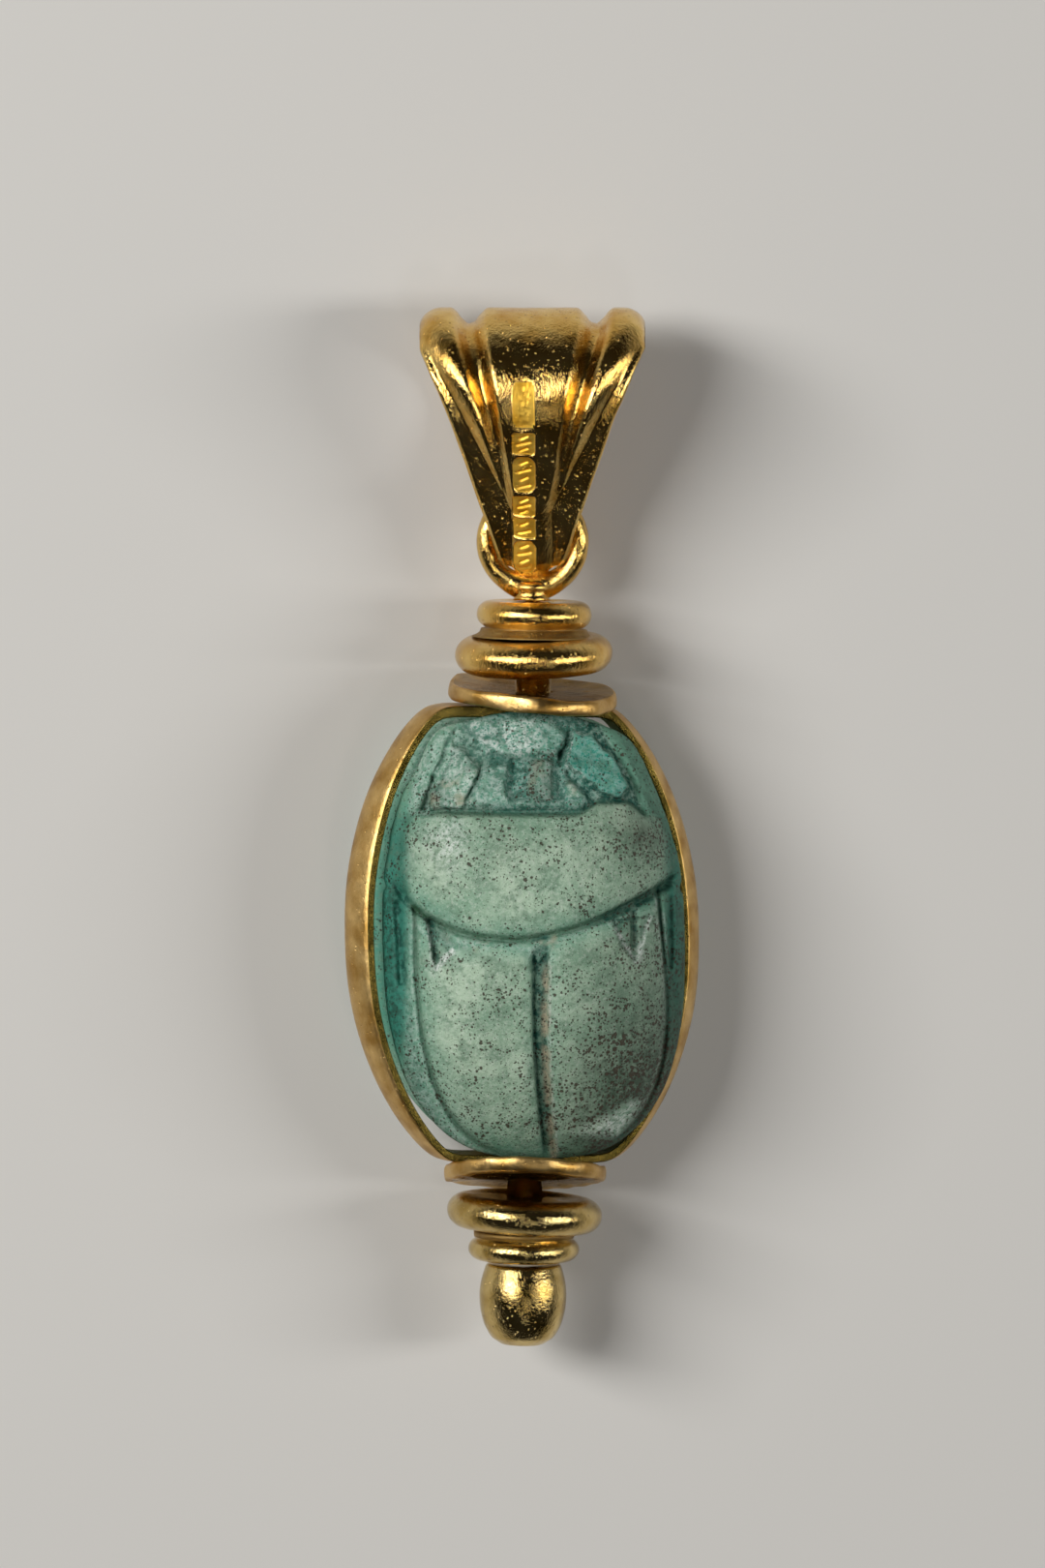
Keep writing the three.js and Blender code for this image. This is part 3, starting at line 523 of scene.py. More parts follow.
def glazed_steatite():
    # Old alkaline glaze on soft stone: the eye sees a satin sage green skin with dark pits,
    # dark teal glass in the cuts, and a chalky crust on the rough, cut-back parts. Dull olive painted
    # shade darkens its right side and lower end.
    material, tree, shader = new_material("glazed_steatite")
    smooth = {"interpolation_type": "SMOOTHSTEP"}
    place = add_node(tree, "TexCoord", {}, {}).outputs["Object"]
    place = add_node(tree, "VectorMath", {"operation": "SCALE"}, {0: place, "Scale": 1 / MM}).outputs[0]
    mask = {"all": 1.0}
    for name in ("hollow", "moss", "teal", "crust", "stain_and_shade", "earth", "polish"):
        mask[name] = add_node(tree, "Attribute", {"attribute_name": name}, {}).outputs["Fac"]
    noise = {}
    for name, (scale, detail, roughness) in GLAZE_NOISES.items():
        inputs = {"Vector": place, "Scale": scale, "Detail": detail, "Roughness": roughness}
        noise[name] = add_node(tree, "TexNoise", {}, inputs).outputs["Fac"]

    # the rough parts keep more glaze, and crust gathers in patches
    unpolished = {0: 1.0, 1: mask["polish"]}
    mask["rough"] = add_node(tree, "Math", {"operation": "SUBTRACT"}, unpolished).outputs[0]
    patches = add_node(tree, "MapRange", smooth, {"Value": noise["grit"], "From Min": 0.4, "From Max": 0.56,
                                                  "To Min": 0.25, "To Max": 1.0})
    gathered = {0: mask["crust"], 1: patches.outputs["Result"]}
    mask["crust"] = add_node(tree, "Math", {"operation": "MULTIPLY"}, gathered).outputs[0]
    body = add_node(tree, "ValToRGB", {}, {"Fac": noise["clouds"]})
    for element, (position, green) in zip(body.color_ramp.elements, GLAZE_GREENS):
        element.position = position
        element.color = linear(green)
    colour = body.outputs["Color"]
    for where, broken_by, (low, high), (least, most), tint in GLAZE_LAYERS:
        broken = add_node(tree, "MapRange", smooth, {"Value": noise[broken_by], "From Min": low,
                                                     "From Max": high, "To Min": least, "To Max": most})
        covered = {0: mask[where], 1: broken.outputs["Result"]}
        share = add_node(tree, "Math", {"operation": "MULTIPLY"}, covered).outputs[0]
        layer = {"Factor": share, 6: colour, 7: linear(tint)}
        colour = add_node(tree, "Mix", {"data_type": "RGBA"}, layer).outputs[2]

    # dark pits, crowded in places and where the stains and the painted shade lie
    crowding = add_node(tree, "MapRange", smooth, {"Value": noise["crowding"], "From Min": 0.35,
                                                   "From Max": 0.7, "To Min": -0.07, "To Max": 0.11})
    crowded = {0: mask["stain_and_shade"], 1: 0.1, 2: crowding.outputs["Result"]}
    crowd = add_node(tree, "Math", {"operation": "MULTIPLY_ADD"}, crowded).outputs[0]
    fray = add_node(tree, "MapRange", smooth, {"Value": noise["grains"], "From Min": 0.3, "From Max": 0.7,
                                               "To Min": -PIT_FRAY, "To Max": PIT_FRAY})
    pitted = 0.0
    for cells, least_size in GLAZE_PITS:
        pattern = {"Vector": place, "Scale": cells, "Randomness": 1.0}
        cell = add_node(tree, "TexVoronoi", {"feature": "F1"}, pattern)
        chance = add_node(tree, "SeparateColor", {}, {"Color": cell.outputs["Color"]}).outputs["Red"]
        least = add_node(tree, "Math", {"operation": "ADD"}, {0: crowd, 1: least_size}).outputs[0]
        varied = {0: chance, 1: PIT_VARIETY, 2: least}
        size = add_node(tree, "Math", {"operation": "MULTIPLY_ADD"}, varied).outputs[0]
        frayed = {0: cell.outputs["Distance"], 1: fray.outputs["Result"]}
        ragged = add_node(tree, "Math", {"operation": "ADD"}, frayed).outputs[0]
        outside = add_node(tree, "Math", {"operation": "SUBTRACT"}, {0: ragged, 1: size}).outputs[0]
        pit = add_node(tree, "MapRange", smooth, {"Value": outside, "From Min": PIT_SOFTNESS,
                                                  "From Max": -PIT_SOFTNESS, "To Min": 0.0, "To Max": 1.0})
        deepest = {0: pitted, 1: pit.outputs["Result"]}
        pitted = add_node(tree, "Math", {"operation": "MAXIMUM"}, deepest).outputs[0]
    share = add_node(tree, "Math", {"operation": "MULTIPLY"}, {0: pitted, 1: 0.88}).outputs[0]
    brown = {"Factor": share, 6: colour, 7: linear("#3a2b1a")}
    colour = add_node(tree, "Mix", {"data_type": "RGBA"}, brown).outputs[2]
    tree.links.new(colour, shader.inputs["Base Color"])

    dull = add_node(tree, "MapRange", smooth, {"Value": mask["rough"], "From Min": 0.0, "From Max": 1.0,
                                               "To Min": 0.46, "To Max": 0.6})
    tree.links.new(dull.outputs["Result"], shader.inputs["Roughness"])
    shader.inputs["Specular IOR Level"].default_value = 0.4
    granular = {0: noise["grains"], 1: 0.6, 2: noise["grit"]}
    skin = add_node(tree, "Math", {"operation": "MULTIPLY_ADD"}, granular).outputs[0]
    sunk = {0: pitted, 1: -0.8, 2: skin}
    skin = add_node(tree, "Math", {"operation": "MULTIPLY_ADD"}, sunk).outputs[0]
    bump = add_node(tree, "Bump", {}, {"Height": skin, "Strength": 0.9, "Distance": 0.09 * MM})
    tree.links.new(bump.outputs["Normal"], shader.inputs["Normal"])
    return material


seal_points, seal_faces, seal_masks = seal_mesh()
add_piece("scarab", seal_points, seal_faces, [glazed_steatite()], "framed_scarab",
          seal_masks)

# ---------------------------------------------------------------- the band
# A strip of 18 carat gold, cambered, bent to an oval round the seal and soldered behind the
# discs. Its outer face is satin, its thin front edge shows the file and is painted dark as painted shade.

BAND_HALF_WIDTH = 7.02       # inner face, where the strip is narrowest
BAND_HALF_LENGTH = 11.4      # the oval is cut off flat where the discs are soldered on
BAND_MIDDLE = (-0.3, 0.12)
BAND_SKEW = -0.028
BAND_FULLNESS = 2.1
BAND_ROLL = 4.0              # degrees that the strip leans about the pin
BAND_END_INSIDE = 9.85
BAND_HEAD_OUTSIDE = 10.36
BAND_TAIL_OUTSIDE = 10.2
BAND_EDGE = 0.31
BAND_DOME = 0.76
BAND_CAMBER = 0.35
BAND_HALF_DEPTH = 1.5
BAND_END_DEPTH = 1.1
BAND_CORNER = 0.2
BAND_STEPS = 360


def hand_wobble(points, size, amount, seed):
    """The slight unevenness of hand work: slow waves about `size` millimetres long."""
    rng = np.random.default_rng(seed)
    shift = np.zeros_like(points)
    for _ in range(7):
        wave = rng.normal(size=3) * 4 / size
        shift += np.sin(points @ wave + 6.28 * rng.random())[:, None] * rng.normal(size=3)
    return points + amount * shift / 7


def loop_faces(steps, corners):
    """Faces of a body that closes on itself: `steps` sections of `corners` points."""
    i, j = np.meshgrid(np.arange(steps), np.arange(corners), indexing="ij")
    following, side = (i + 1) % steps, (j + 1) % corners
    quads = [i * corners + j, following * corners + j, following * corners + side, i * corners + side]
    return np.stack(quads, -1).reshape(-1, 4)


def gold(name, colour, dull, bright, scratch, relief, grain=0.18):
    """18 carat gold of one finish: two colours it wanders between, the range of its roughness, how
    many scratches lie in a millimetre each way, how deep they are, and how much fine grain it has."""
    material, tree, shader = new_material(name)
    shader.inputs["Metallic"].default_value = 1.0
    place = add_node(tree, "TexCoord", {}, {}).outputs["Object"]
    place = add_node(tree, "VectorMath", {"operation": "SCALE"}, {0: place, "Scale": 1 / MM}).outputs[0]
    tone = add_node(tree, "TexNoise", {}, {"Vector": place, "Scale": 0.9, "Detail": 3.0})
    shade = add_node(tree, "ValToRGB", {}, {"Fac": tone.outputs["Fac"]})
    for element, position, tint in zip(shade.color_ramp.elements, (0.3, 0.7), colour):
        element.position = position
        element.color = linear(tint)
    tree.links.new(shade.outputs["Color"], shader.inputs["Base Color"])
    smeared = {"Vector": place, "Scale": 2.3, "Detail": 4.0, "Roughness": 0.65}
    smear = add_node(tree, "TexNoise", {}, smeared)
    gloss = add_node(tree, "MapRange", {}, {"Value": smear.outputs["Fac"], "From Min": 0.35,
                                            "From Max": 0.7, "To Min": bright, "To Max": dull})
    tree.links.new(gloss.outputs["Result"], shader.inputs["Roughness"])
    stretch = add_node(tree, "VectorMath", {"operation": "MULTIPLY"}, {0: place, 1: scratch}).outputs[0]
    scratched = {"Vector": stretch, "Scale": 1.0, "Detail": 4.0, "Roughness": 0.7}
    marks = add_node(tree, "TexNoise", {}, scratched)
    # fine pits left by casting and wear
    pattern = {"Vector": place, "Scale": 3.4, "Randomness": 1.0}
    cell = add_node(tree, "TexVoronoi", {"feature": "F1"}, pattern)
    pits = add_node(tree, "MapRange", {}, {"Value": cell.outputs["Distance"], "From Min": 0.08,
                                           "From Max": 0.18, "To Min": -0.9, "To Max": 0.0})
    pitted = {0: marks.outputs["Fac"], 1: pits.outputs["Result"]}
    skin = add_node(tree, "Math", {"operation": "ADD"}, pitted)
    peel = add_node(tree, "TexNoise", {}, {"Vector": place, "Scale": 8.0, "Detail": 3.0, "Roughness": 0.8})
    grained = {0: peel.outputs["Fac"], 1: grain, 2: skin.outputs[0]}
    skin = add_node(tree, "Math", {"operation": "MULTIPLY_ADD"}, grained)
    raised = {"Height": skin.outputs[0], "Strength": 0.8, "Distance": relief * MM}
    bump = add_node(tree, "Bump", {}, raised)
    tree.links.new(bump.outputs["Normal"], shader.inputs["Normal"])
    return material


# Brushed to a satin: the eye sees a soft pale sheen with no clear reflections.
satin_gold = gold("satin_gold", ("#ae843f", "#e0bc7a"), 0.46, 0.3, (3.0, 3.0, 9.0), 0.03)
# Filed across and left: the eye sees a dull olive gold edge with fine cross marks; its colour is painted
# dark as painted shade on the band's edges.
shaded_filed_gold = gold("shaded_filed_gold", ("#4d4219", "#8d7838"), 0.32, 0.16, (9.0, 9.0, 2.0), 0.045)


def band_mesh():
    """The strip's section carried round the oval; the front and back edges get the filed finish, painted
    dark as painted shade.
    """
    edge_round = 0.05
    outer = [(across, BAND_EDGE, True) for across in np.linspace(-1, 1, 17)]
    front = [(1.0, share, False) for share in (BAND_EDGE - edge_round, BAND_EDGE / 2, edge_round)]
    inner = [(across, 0.0, False) for across in np.linspace(0.98, -0.98, 9)]
    back = [(-1.0, share, False) for share in (edge_round, BAND_EDGE / 2, BAND_EDGE - edge_round)]
    section = outer + front + inner + back
    across = np.array([corner[0] for corner in section])[None, :]
    thickness = np.array([corner[1] for corner in section])[None, :]
    outside = np.array([corner[2] for corner in section])[None, :]
    angle = np.linspace(0, 2 * math.pi, BAND_STEPS, endpoint=False)[:, None]
    cos, sin = np.cos(angle), np.sin(angle)
    size = oval_norm(cos, sin, BAND_FULLNESS)
    side = np.abs(cos / size)
    normal_x = np.sign(cos) * side ** (BAND_FULLNESS - 1) / BAND_HALF_WIDTH
    normal_y = np.sign(sin) * np.abs(sin / size) ** (BAND_FULLNESS - 1) / BAND_HALF_LENGTH
    normal = np.hypot(normal_x, normal_y)
    lift = thickness + np.where(outside, BAND_DOME, BAND_CAMBER) * (1 - across ** 2) * side ** 1.5
    share = thickness / BAND_EDGE
    head = BAND_END_INSIDE + (BAND_HEAD_OUTSIDE - BAND_END_INSIDE) * share
    tail = BAND_END_INSIDE + (BAND_TAIL_OUTSIDE - BAND_END_INSIDE) * share
    depth = (BAND_END_DEPTH + (BAND_HALF_DEPTH - BAND_END_DEPTH) * side) * across
    # cut off flat where the discs sit, the corners filed round
    y = BAND_HALF_LENGTH * sin / size + BAND_MIDDLE[1] + lift * normal_y / normal
    y = -BAND_CORNER * np.logaddexp(-y / BAND_CORNER, -head / BAND_CORNER)
    y = BAND_CORNER * np.logaddexp(y / BAND_CORNER, -tail / BAND_CORNER)
    x = BAND_HALF_WIDTH * cos / size + BAND_MIDDLE[0] + BAND_SKEW * y + lift * normal_x / normal
    cos_roll, sin_roll = math.cos(math.radians(BAND_ROLL)), math.sin(math.radians(BAND_ROLL))
    place = (x * cos_roll + depth * sin_roll, y, depth * cos_roll - x * sin_roll + PIN_HEIGHT)
    points = np.stack(np.broadcast_arrays(*place), -1).reshape(-1, 3)
    faces = loop_faces(BAND_STEPS, len(section))[:, ::-1]
    edge = np.array([not corner[2] and abs(corner[0]) == 1.0 for corner in section])
    edge |= np.roll(edge, -1) & ~np.array([corner[2] and abs(corner[0]) < 1 for corner in section])
    face_material = np.tile(edge.astype(int), BAND_STEPS)
    return hand_wobble(points, 5.0, 0.05, 2), faces.tolist(), face_material


band_points, band_faces, band_material = band_mesh()
add_piece("band", band_points, band_faces, [satin_gold, shaded_filed_gold], "framed_scarab",
          face_material=band_material)

# ---------------------------------------------------------------- the two discs
# Round dishes of gold sheet, hammered thin at the rim and soldered to the ends of the band,
# their hollow sides facing away from the seal. The hammer left them bent and wavy.

DISC_THICKNESS = 0.5
RUNNING_HOLE = 0.89
DISC_STEPS = 180
# How far, in millimetres at the rim, each is dished, bent both ways and waved.
DISCS = {
    "top_disc": {"middle": 10.72, "radius": 3.78,
                 "dish": 0.14, "pitch": -0.4, "roll": -0.2, "wave": 0.06},
    "bottom_disc": {"middle": -10.85, "radius": 3.65,
                    "dish": 0.06, "pitch": 0.82, "roll": -0.08, "wave": 0.05},
}
# Planished and rubbed bright: the eye sees warm broken reflections and hammer facets; its colour is
# painted dark as painted shade on the dished faces.
hammered_gold = gold("hammered_gold", ("#8a6a22", "#c59c3e"), 0.3, 0.13, (2.2, 2.2, 2.2), 0.1)


def disc_mesh(middle, radius, dish, pitch, roll, wave, seed):
    """A bent sheet disc with a hole for the pin, its rim apart for the satin finish."""
    hole = RUNNING_HOLE / radius
    rim = [(1 - 0.035 * (1 - math.cos(a)), math.sin(a)) for a in np.linspace(-1.2, 1.2, 7)]
    across = np.linspace(hole, 0.95, 14)
    section = [(share, 1.0) for share in across] + [(share, face) for share, face in rim[::-1]]
    section += [(share, -1.0) for share in across[::-1]]
    share = np.array([corner[0] for corner in section])[None, :]
    face = np.array([corner[1] for corner in section])[None, :]
    angle = np.linspace(0, 2 * math.pi, DISC_STEPS, endpoint=False)[:, None]
    bend = dish + roll * np.cos(angle) + pitch * np.sin(angle) + wave * np.cos(3 * angle + 0.6)
    thickness = DISC_THICKNESS * (0.95 + 0.45 * share ** 3) / 2
    x = radius * share * np.cos(angle)
    y = middle + bend * share ** 2 + face * thickness
    z = PIN_HEIGHT + radius * share * np.sin(angle)
    points = np.stack(np.broadcast_arrays(x, y, z), -1).reshape(-1, 3)
    rim_faces = np.tile(np.array([corner[0] > 0.94 for corner in section], int), DISC_STEPS)
    points = hand_wobble(hand_wobble(points, 2.0, 0.1, seed), 0.7, 0.02, seed + 5)
    return points, loop_faces(DISC_STEPS, len(section))[:, ::-1].tolist(), rim_faces


for seed, (name, sizes) in enumerate(DISCS.items()):
    disc_points, disc_faces, disc_material = disc_mesh(**sizes, seed=20 + seed)
    add_piece(name, disc_points, disc_faces, [hammered_gold, satin_gold], "framed_scarab",
              face_material=disc_material)

# ---------------------------------------------------------------- pin, rings and finial
# The spindle: gold wire through the seal, with a large and a small ring soldered on it at
# each end and a barrel bead closing the lower end, all turned and polished. It turns
# freely in the discs.

SPINDLE_TURN = math.radians(8)
SOLDERED_HOLE = 0.9
TURNED_STEPS = 128
# Radius, middle, height, and how many degrees each is soldered out of true both ways.
LARGE_RINGS = (("top_large_ring", 3.545, 12.64, 1.62, 4.0, 2.0),
               ("bottom_large_ring", 3.5, -12.56, 1.54, 0.0, -2.4))
# Polished on the mop: the eye sees a deep yellow, dark mirror with bright edges and fine scratches.
polished_gold = gold("polished_gold", ("#d2a148", "#f0cc7b"), 0.15, 0.05, (6.0, 2.0, 6.0), 0.05)
# The lower end is rubbed and worn: a paler, grainy mirror that breaks up into specks.
worn_gold = gold("worn_gold", ("#ae904c", "#e2c888"), 0.13, 0.04, (4.0, 4.0, 4.0), 0.04, grain=0.12)


def on_spindle(points):
    """Turn with the spindle about the pin and lift to the pin's height."""
    cos, sin = math.cos(SPINDLE_TURN), math.sin(SPINDLE_TURN)
    x, y, z = points[:, 0], points[:, 1], points[:, 2]
    return np.stack([x * cos - z * sin, y, x * sin + z * cos + PIN_HEIGHT], -1)


def turned(profile):
    """Spin a closed profile of (radius, place along the pin) round the pin."""
    profile = np.asarray(profile)
    angle = np.linspace(0, 2 * math.pi, TURNED_STEPS, endpoint=False)[:, None]
    x = profile[None, :, 0] * np.cos(angle)
    z = profile[None, :, 0] * np.sin(angle)
    y = np.broadcast_to(profile[None, :, 1], x.shape)
    return np.stack([x, y, z], -1).reshape(-1, 3), loop_faces(TURNED_STEPS, len(profile))[:, ::-1]


def round_rim(radius, low, high, rim, count=18):
    """Outer half of a ring's section, bulging by `rim` out to `radius`."""
    angle = np.linspace(-math.pi / 2, math.pi / 2, count)
    middle, half = (low + high) / 2, (high - low) / 2
    return [(radius - rim + rim * math.cos(a), middle + half * math.sin(a)) for a in angle]


# Solder left as it ran: the eye sees a dull brown fillet between two bright rings.
solder = gold("solder", ("#8a6c3c", "#b09055"), 0.6, 0.42, (3.0, 3.0, 3.0), 0.08)


def add_turned(name, profile, seed, pitch=0.0, roll=0.0, middle=0.0, wobble=0.03, fillet=()):
    points, faces = turned(profile)
    tilt = Matrix.Rotation(math.radians(pitch), 3, "X") @ Matrix.Rotation(math.radians(roll), 3, "Z")
    points = points @ np.array(tilt).T
    points[:, 1] += middle
    points = on_spindle(hand_wobble(hand_wobble(points, 2.5, wobble, seed), 0.8, wobble / 3, seed + 9))
    soldered = np.tile([int(corner in fillet) for corner in range(len(profile))], TURNED_STEPS)
    lowest = min(place for _, place in profile)
    finish = worn_gold if middle < 0 or lowest < -PIN_HEIGHT else polished_gold
    add_piece(name, points, faces.tolist(), [finish, solder], "spindle",
              face_material=soldered)


pin_length = [value / MM for value in (pin_low[1], pin_high[1])]
pin_profile = [(0.02, pin_length[0]), (0.8, pin_length[0]), (0.8, pin_length[1]), (0.02, pin_length[1])]
add_turned("pin", pin_profile, 40, wobble=0.0)
for name, radius, middle, height, pitch, roll in LARGE_RINGS:
    profile = [(SOLDERED_HOLE, -height / 2)] + round_rim(radius, -height / 2, height / 2, 0.83)
    add_turned(name, profile + [(SOLDERED_HOLE, height / 2)], 41, pitch, roll, middle)
top_small = [(SOLDERED_HOLE, 13.38), (2.8, 13.4), (2.6, 13.48), (2.44, 13.6), (2.38, 13.76)]
top_small += round_rim(2.585, 13.8, 15.02, 0.6) + [(SOLDERED_HOLE, 14.98)]
add_turned("top_small_ring", top_small, 42, fillet=range(5))
bottom_small = [(SOLDERED_HOLE, -14.72)] + round_rim(2.5, -14.72, -13.66, 0.6)
bottom_small += [(2.24, -13.64), (2.26, -13.4), (2.2, -13.36), (SOLDERED_HOLE, -13.36)]
add_turned("bottom_small_ring", bottom_small, 43, fillet=range(19, 23))


FINIAL_BELLY = [(1.72, -15.0), (1.9, -15.6), (1.97, -16.2), (1.93, -16.9), (1.75, -17.6), (1.42, -18.2),
                (0.95, -18.5), (0.02, -18.62)]


def finial_profile():
    """Barrel bead: a small lip, then a belly that is widest near its middle, and a domed end."""
    radius, place = np.array(FINIAL_BELLY).T
    run = np.concatenate([[0], np.cumsum(np.hypot(np.diff(radius), np.diff(place)))])
    steps = np.linspace(0, run[-1], 60)
    padded = np.pad(np.interp(steps, run, radius), 3, "reflect", reflect_type="odd")
    smooth = np.convolve(padded, np.ones(7) / 7, "valid")
    belly = list(zip(np.maximum(smooth, 0.02), np.interp(steps, run, place)))
    return ([(0.02, -14.87), (1.6, -14.87), (1.68, -14.92)] + belly)[::-1]


add_turned("finial", finial_profile(), 44)

# ---------------------------------------------------------------- eye ring
# Round gold wire closed to an eye and soldered on a short neck at the top of the spindle;
# the solder runs up into the ring.

RING_CENTRE = 17.65
RING_RADIUS = 2.06
RING_WIRE = 0.46             # half the thickness of the wire
RING_STEPS = 120
WIRE_STEPS = 32
NECK_BOTTOM = 15.05
EYE_SHIFT = -0.12            # the ring stands a little left of the pin


def eye_ring_points():
    angle, round_wire = np.meshgrid(np.linspace(0, 2 * math.pi, RING_STEPS, endpoint=False),
                                    np.linspace(0, 2 * math.pi, WIRE_STEPS, endpoint=False), indexing="ij")
    # the wire thickens where it runs into the neck, and solder fills the ring a little there
    from_foot = np.angle(np.exp(1j * (angle + math.pi / 2)))
    thickened = 0.35 * trough(from_foot, 0.42) * (0.5 - 0.5 * np.cos(round_wire + math.pi))
    wire = RING_WIRE * (1 + thickened)
    filled = 0.22 * trough(from_foot, 0.7) * np.maximum(0, -np.cos(round_wire))
    reach = RING_RADIUS + wire * np.cos(round_wire) - filled
    x, y, z = reach * np.cos(angle), RING_CENTRE + reach * np.sin(angle), wire * np.sin(round_wire)
    return np.stack([x, y, z], -1).reshape(-1, 3), loop_faces(RING_STEPS, WIRE_STEPS)


ring_points, ring_faces = eye_ring_points()
neck = [(0.02, NECK_BOTTOM), (0.85, NECK_BOTTOM), (0.78, 15.2), (0.73, 15.35), (0.78, 15.55), (0.85, 15.75)]
neck_points, neck_faces = turned(neck + [(0.5, 15.9), (0.02, 15.95)])
eye_points = np.concatenate([ring_points, neck_points]) + (EYE_SHIFT, 0, 0)
eye_faces = np.concatenate([ring_faces, neck_faces + len(ring_points)])
eye_points = on_spindle(hand_wobble(eye_points, 2.0, 0.03, 50))
add_piece("eye_ring", eye_points, eye_faces.tolist(), [polished_gold], "spindle")

# ---------------------------------------------------------------- bail
# One fan of gold sheet, fluted twice along its length, folded over so that the chain runs in
# its wide end and its narrow end turns through the eye ring. Polished; a row of small
# stamped marks runs down its front.

BAIL_LEAN = math.radians(0.9)
BAIL_SHEET = 0.42
BAIL_FOOT = 17.14
BAIL_FOOT_RADIUS = 1.04
BAIL_HEAD = 24.3
BAIL_HEAD_RADIUS = 3.87
BAIL_WIDEST = 5.02
BAIL_THROAT = 0.6            # narrowing inside the eye ring
BAIL_STEPS = (110, 240, 36)  # round the wide turn, along each side, round the small turn
FLUTE_DEPTH = 0.7
FLUTE_START = 19.0
FLUTE_FULL = 27.6
FLUTE_CENTRE = (0.9, 1.93)   # from the middle line at the start, and how much further out at the end
FLUTE_SPREAD = (0.25, 0.63)  # half width of a flute, given the same way


def bail_stations(arc_steps, side_steps, foot_steps):
    """Side view of the folded sheet: a belt round a small turn and a wide turn."""
    slope = math.asin((BAIL_HEAD_RADIUS - BAIL_FOOT_RADIUS) / (BAIL_HEAD - BAIL_FOOT))
    head = np.linspace(-slope, math.pi + slope, arc_steps, endpoint=False)
    foot = np.linspace(math.pi + slope, 2 * math.pi - slope, foot_steps, endpoint=False)
    share = np.linspace(0, 1, side_steps, endpoint=False)
    angle = np.concatenate([head, np.full(side_steps, math.pi + slope), foot,
                            np.full(side_steps, 2 * math.pi - slope)])
    weight = np.concatenate([np.ones(arc_steps), 1 - share, np.zeros(foot_steps), share])
    centre = BAIL_FOOT + (BAIL_HEAD - BAIL_FOOT) * weight
    radius = BAIL_FOOT_RADIUS + (BAIL_HEAD_RADIUS - BAIL_FOOT_RADIUS) * weight
    return centre + radius * np.sin(angle), radius * np.cos(angle), np.sin(angle), np.cos(angle)


def bail_half_width(y, z):
    throat = BAIL_THROAT * rise(0.9, 0.2, np.abs(z)) * (y < BAIL_FOOT)
    return np.minimum(BAIL_WIDEST, 1.36 + 0.345 * (y - 16.35)) - throat


def flute_place(x, y):
    """How far along the flutes a point lies, and how far off a flute's bottom line, in half widths."""
    along = np.clip((y - FLUTE_START) / (FLUTE_FULL - FLUTE_START), 0, 1)
    off = np.abs(x) - FLUTE_CENTRE[0] - FLUTE_CENTRE[1] * along
    return along, off / (FLUTE_SPREAD[0] + FLUTE_SPREAD[1] * along)


def bail_sink(x, y):
    """How deep the sheet sinks below the plain fold: flutes, rolled lobes, rounded foot."""
    along, off = flute_place(x, y)
    across_flute = 0.5 + 0.5 * np.cos(math.pi * np.minimum(1, np.abs(off)))
    flute = FLUTE_DEPTH * np.minimum(1, along * 1.6) * across_flute
    edge = np.maximum(0, np.abs(x) - (0.2 + 3.9 * along)) / (0.6 + 0.32 * along)
    return flute + (0.24 + 0.26 * along) * np.minimum(1.4, edge * edge)


# Upper and lower end of each stamp, and how many plain slanting ticks it holds.
STAMPS = [(24.95, 22.78, 6), (22.65, 21.68, 3), (21.55, 19.94, 4), (19.76, 18.85, 3),
          (18.76, 17.85, 2), (17.72, 16.24, 4)]
STAMPS_END = 25.5            # they are on the front only, below this height
PAD_DEPTH = 0.06
TICK_DEPTH = 0.07
DRAWN_DEPTH = 0.018
STAMP_CENTRE = -0.35
STAMP_HALF_WIDTH = 0.5


def stamp_marks(x, y, front):
    """How much each point lies in a stamp's sunk pad, and in the plain ticks struck into it."""
    pad = np.zeros_like(x)
    ticks_in = np.zeros_like(x)
    for high, low, ticks in STAMPS:
        middle, half = (high + low) / 2, (high - low) / 2
        round_end = 0.4 if half > 0.6 else 0.12
        off_x = np.abs(x - STAMP_CENTRE) - STAMP_HALF_WIDTH + round_end
        off_y = np.abs(y - middle) - half + round_end
        outside = np.hypot(np.maximum(off_x, 0), np.maximum(off_y, 0)) - round_end
        this = rise(0.03, -0.03, outside)
        pad = np.maximum(pad, this)
        for tick in range(ticks):
            place = high + (low - high) * (tick + 0.75) / (ticks + 0.5)
            reach = 0.26 if tick % 2 else 0.15
            start, end = (STAMP_CENTRE - reach, place - 0.07), (STAMP_CENTRE + reach, place + 0.07)
            ticks_in = np.maximum(ticks_in, this * stroke(x, y, start, end, 0.05))
    return pad * front, ticks_in * front


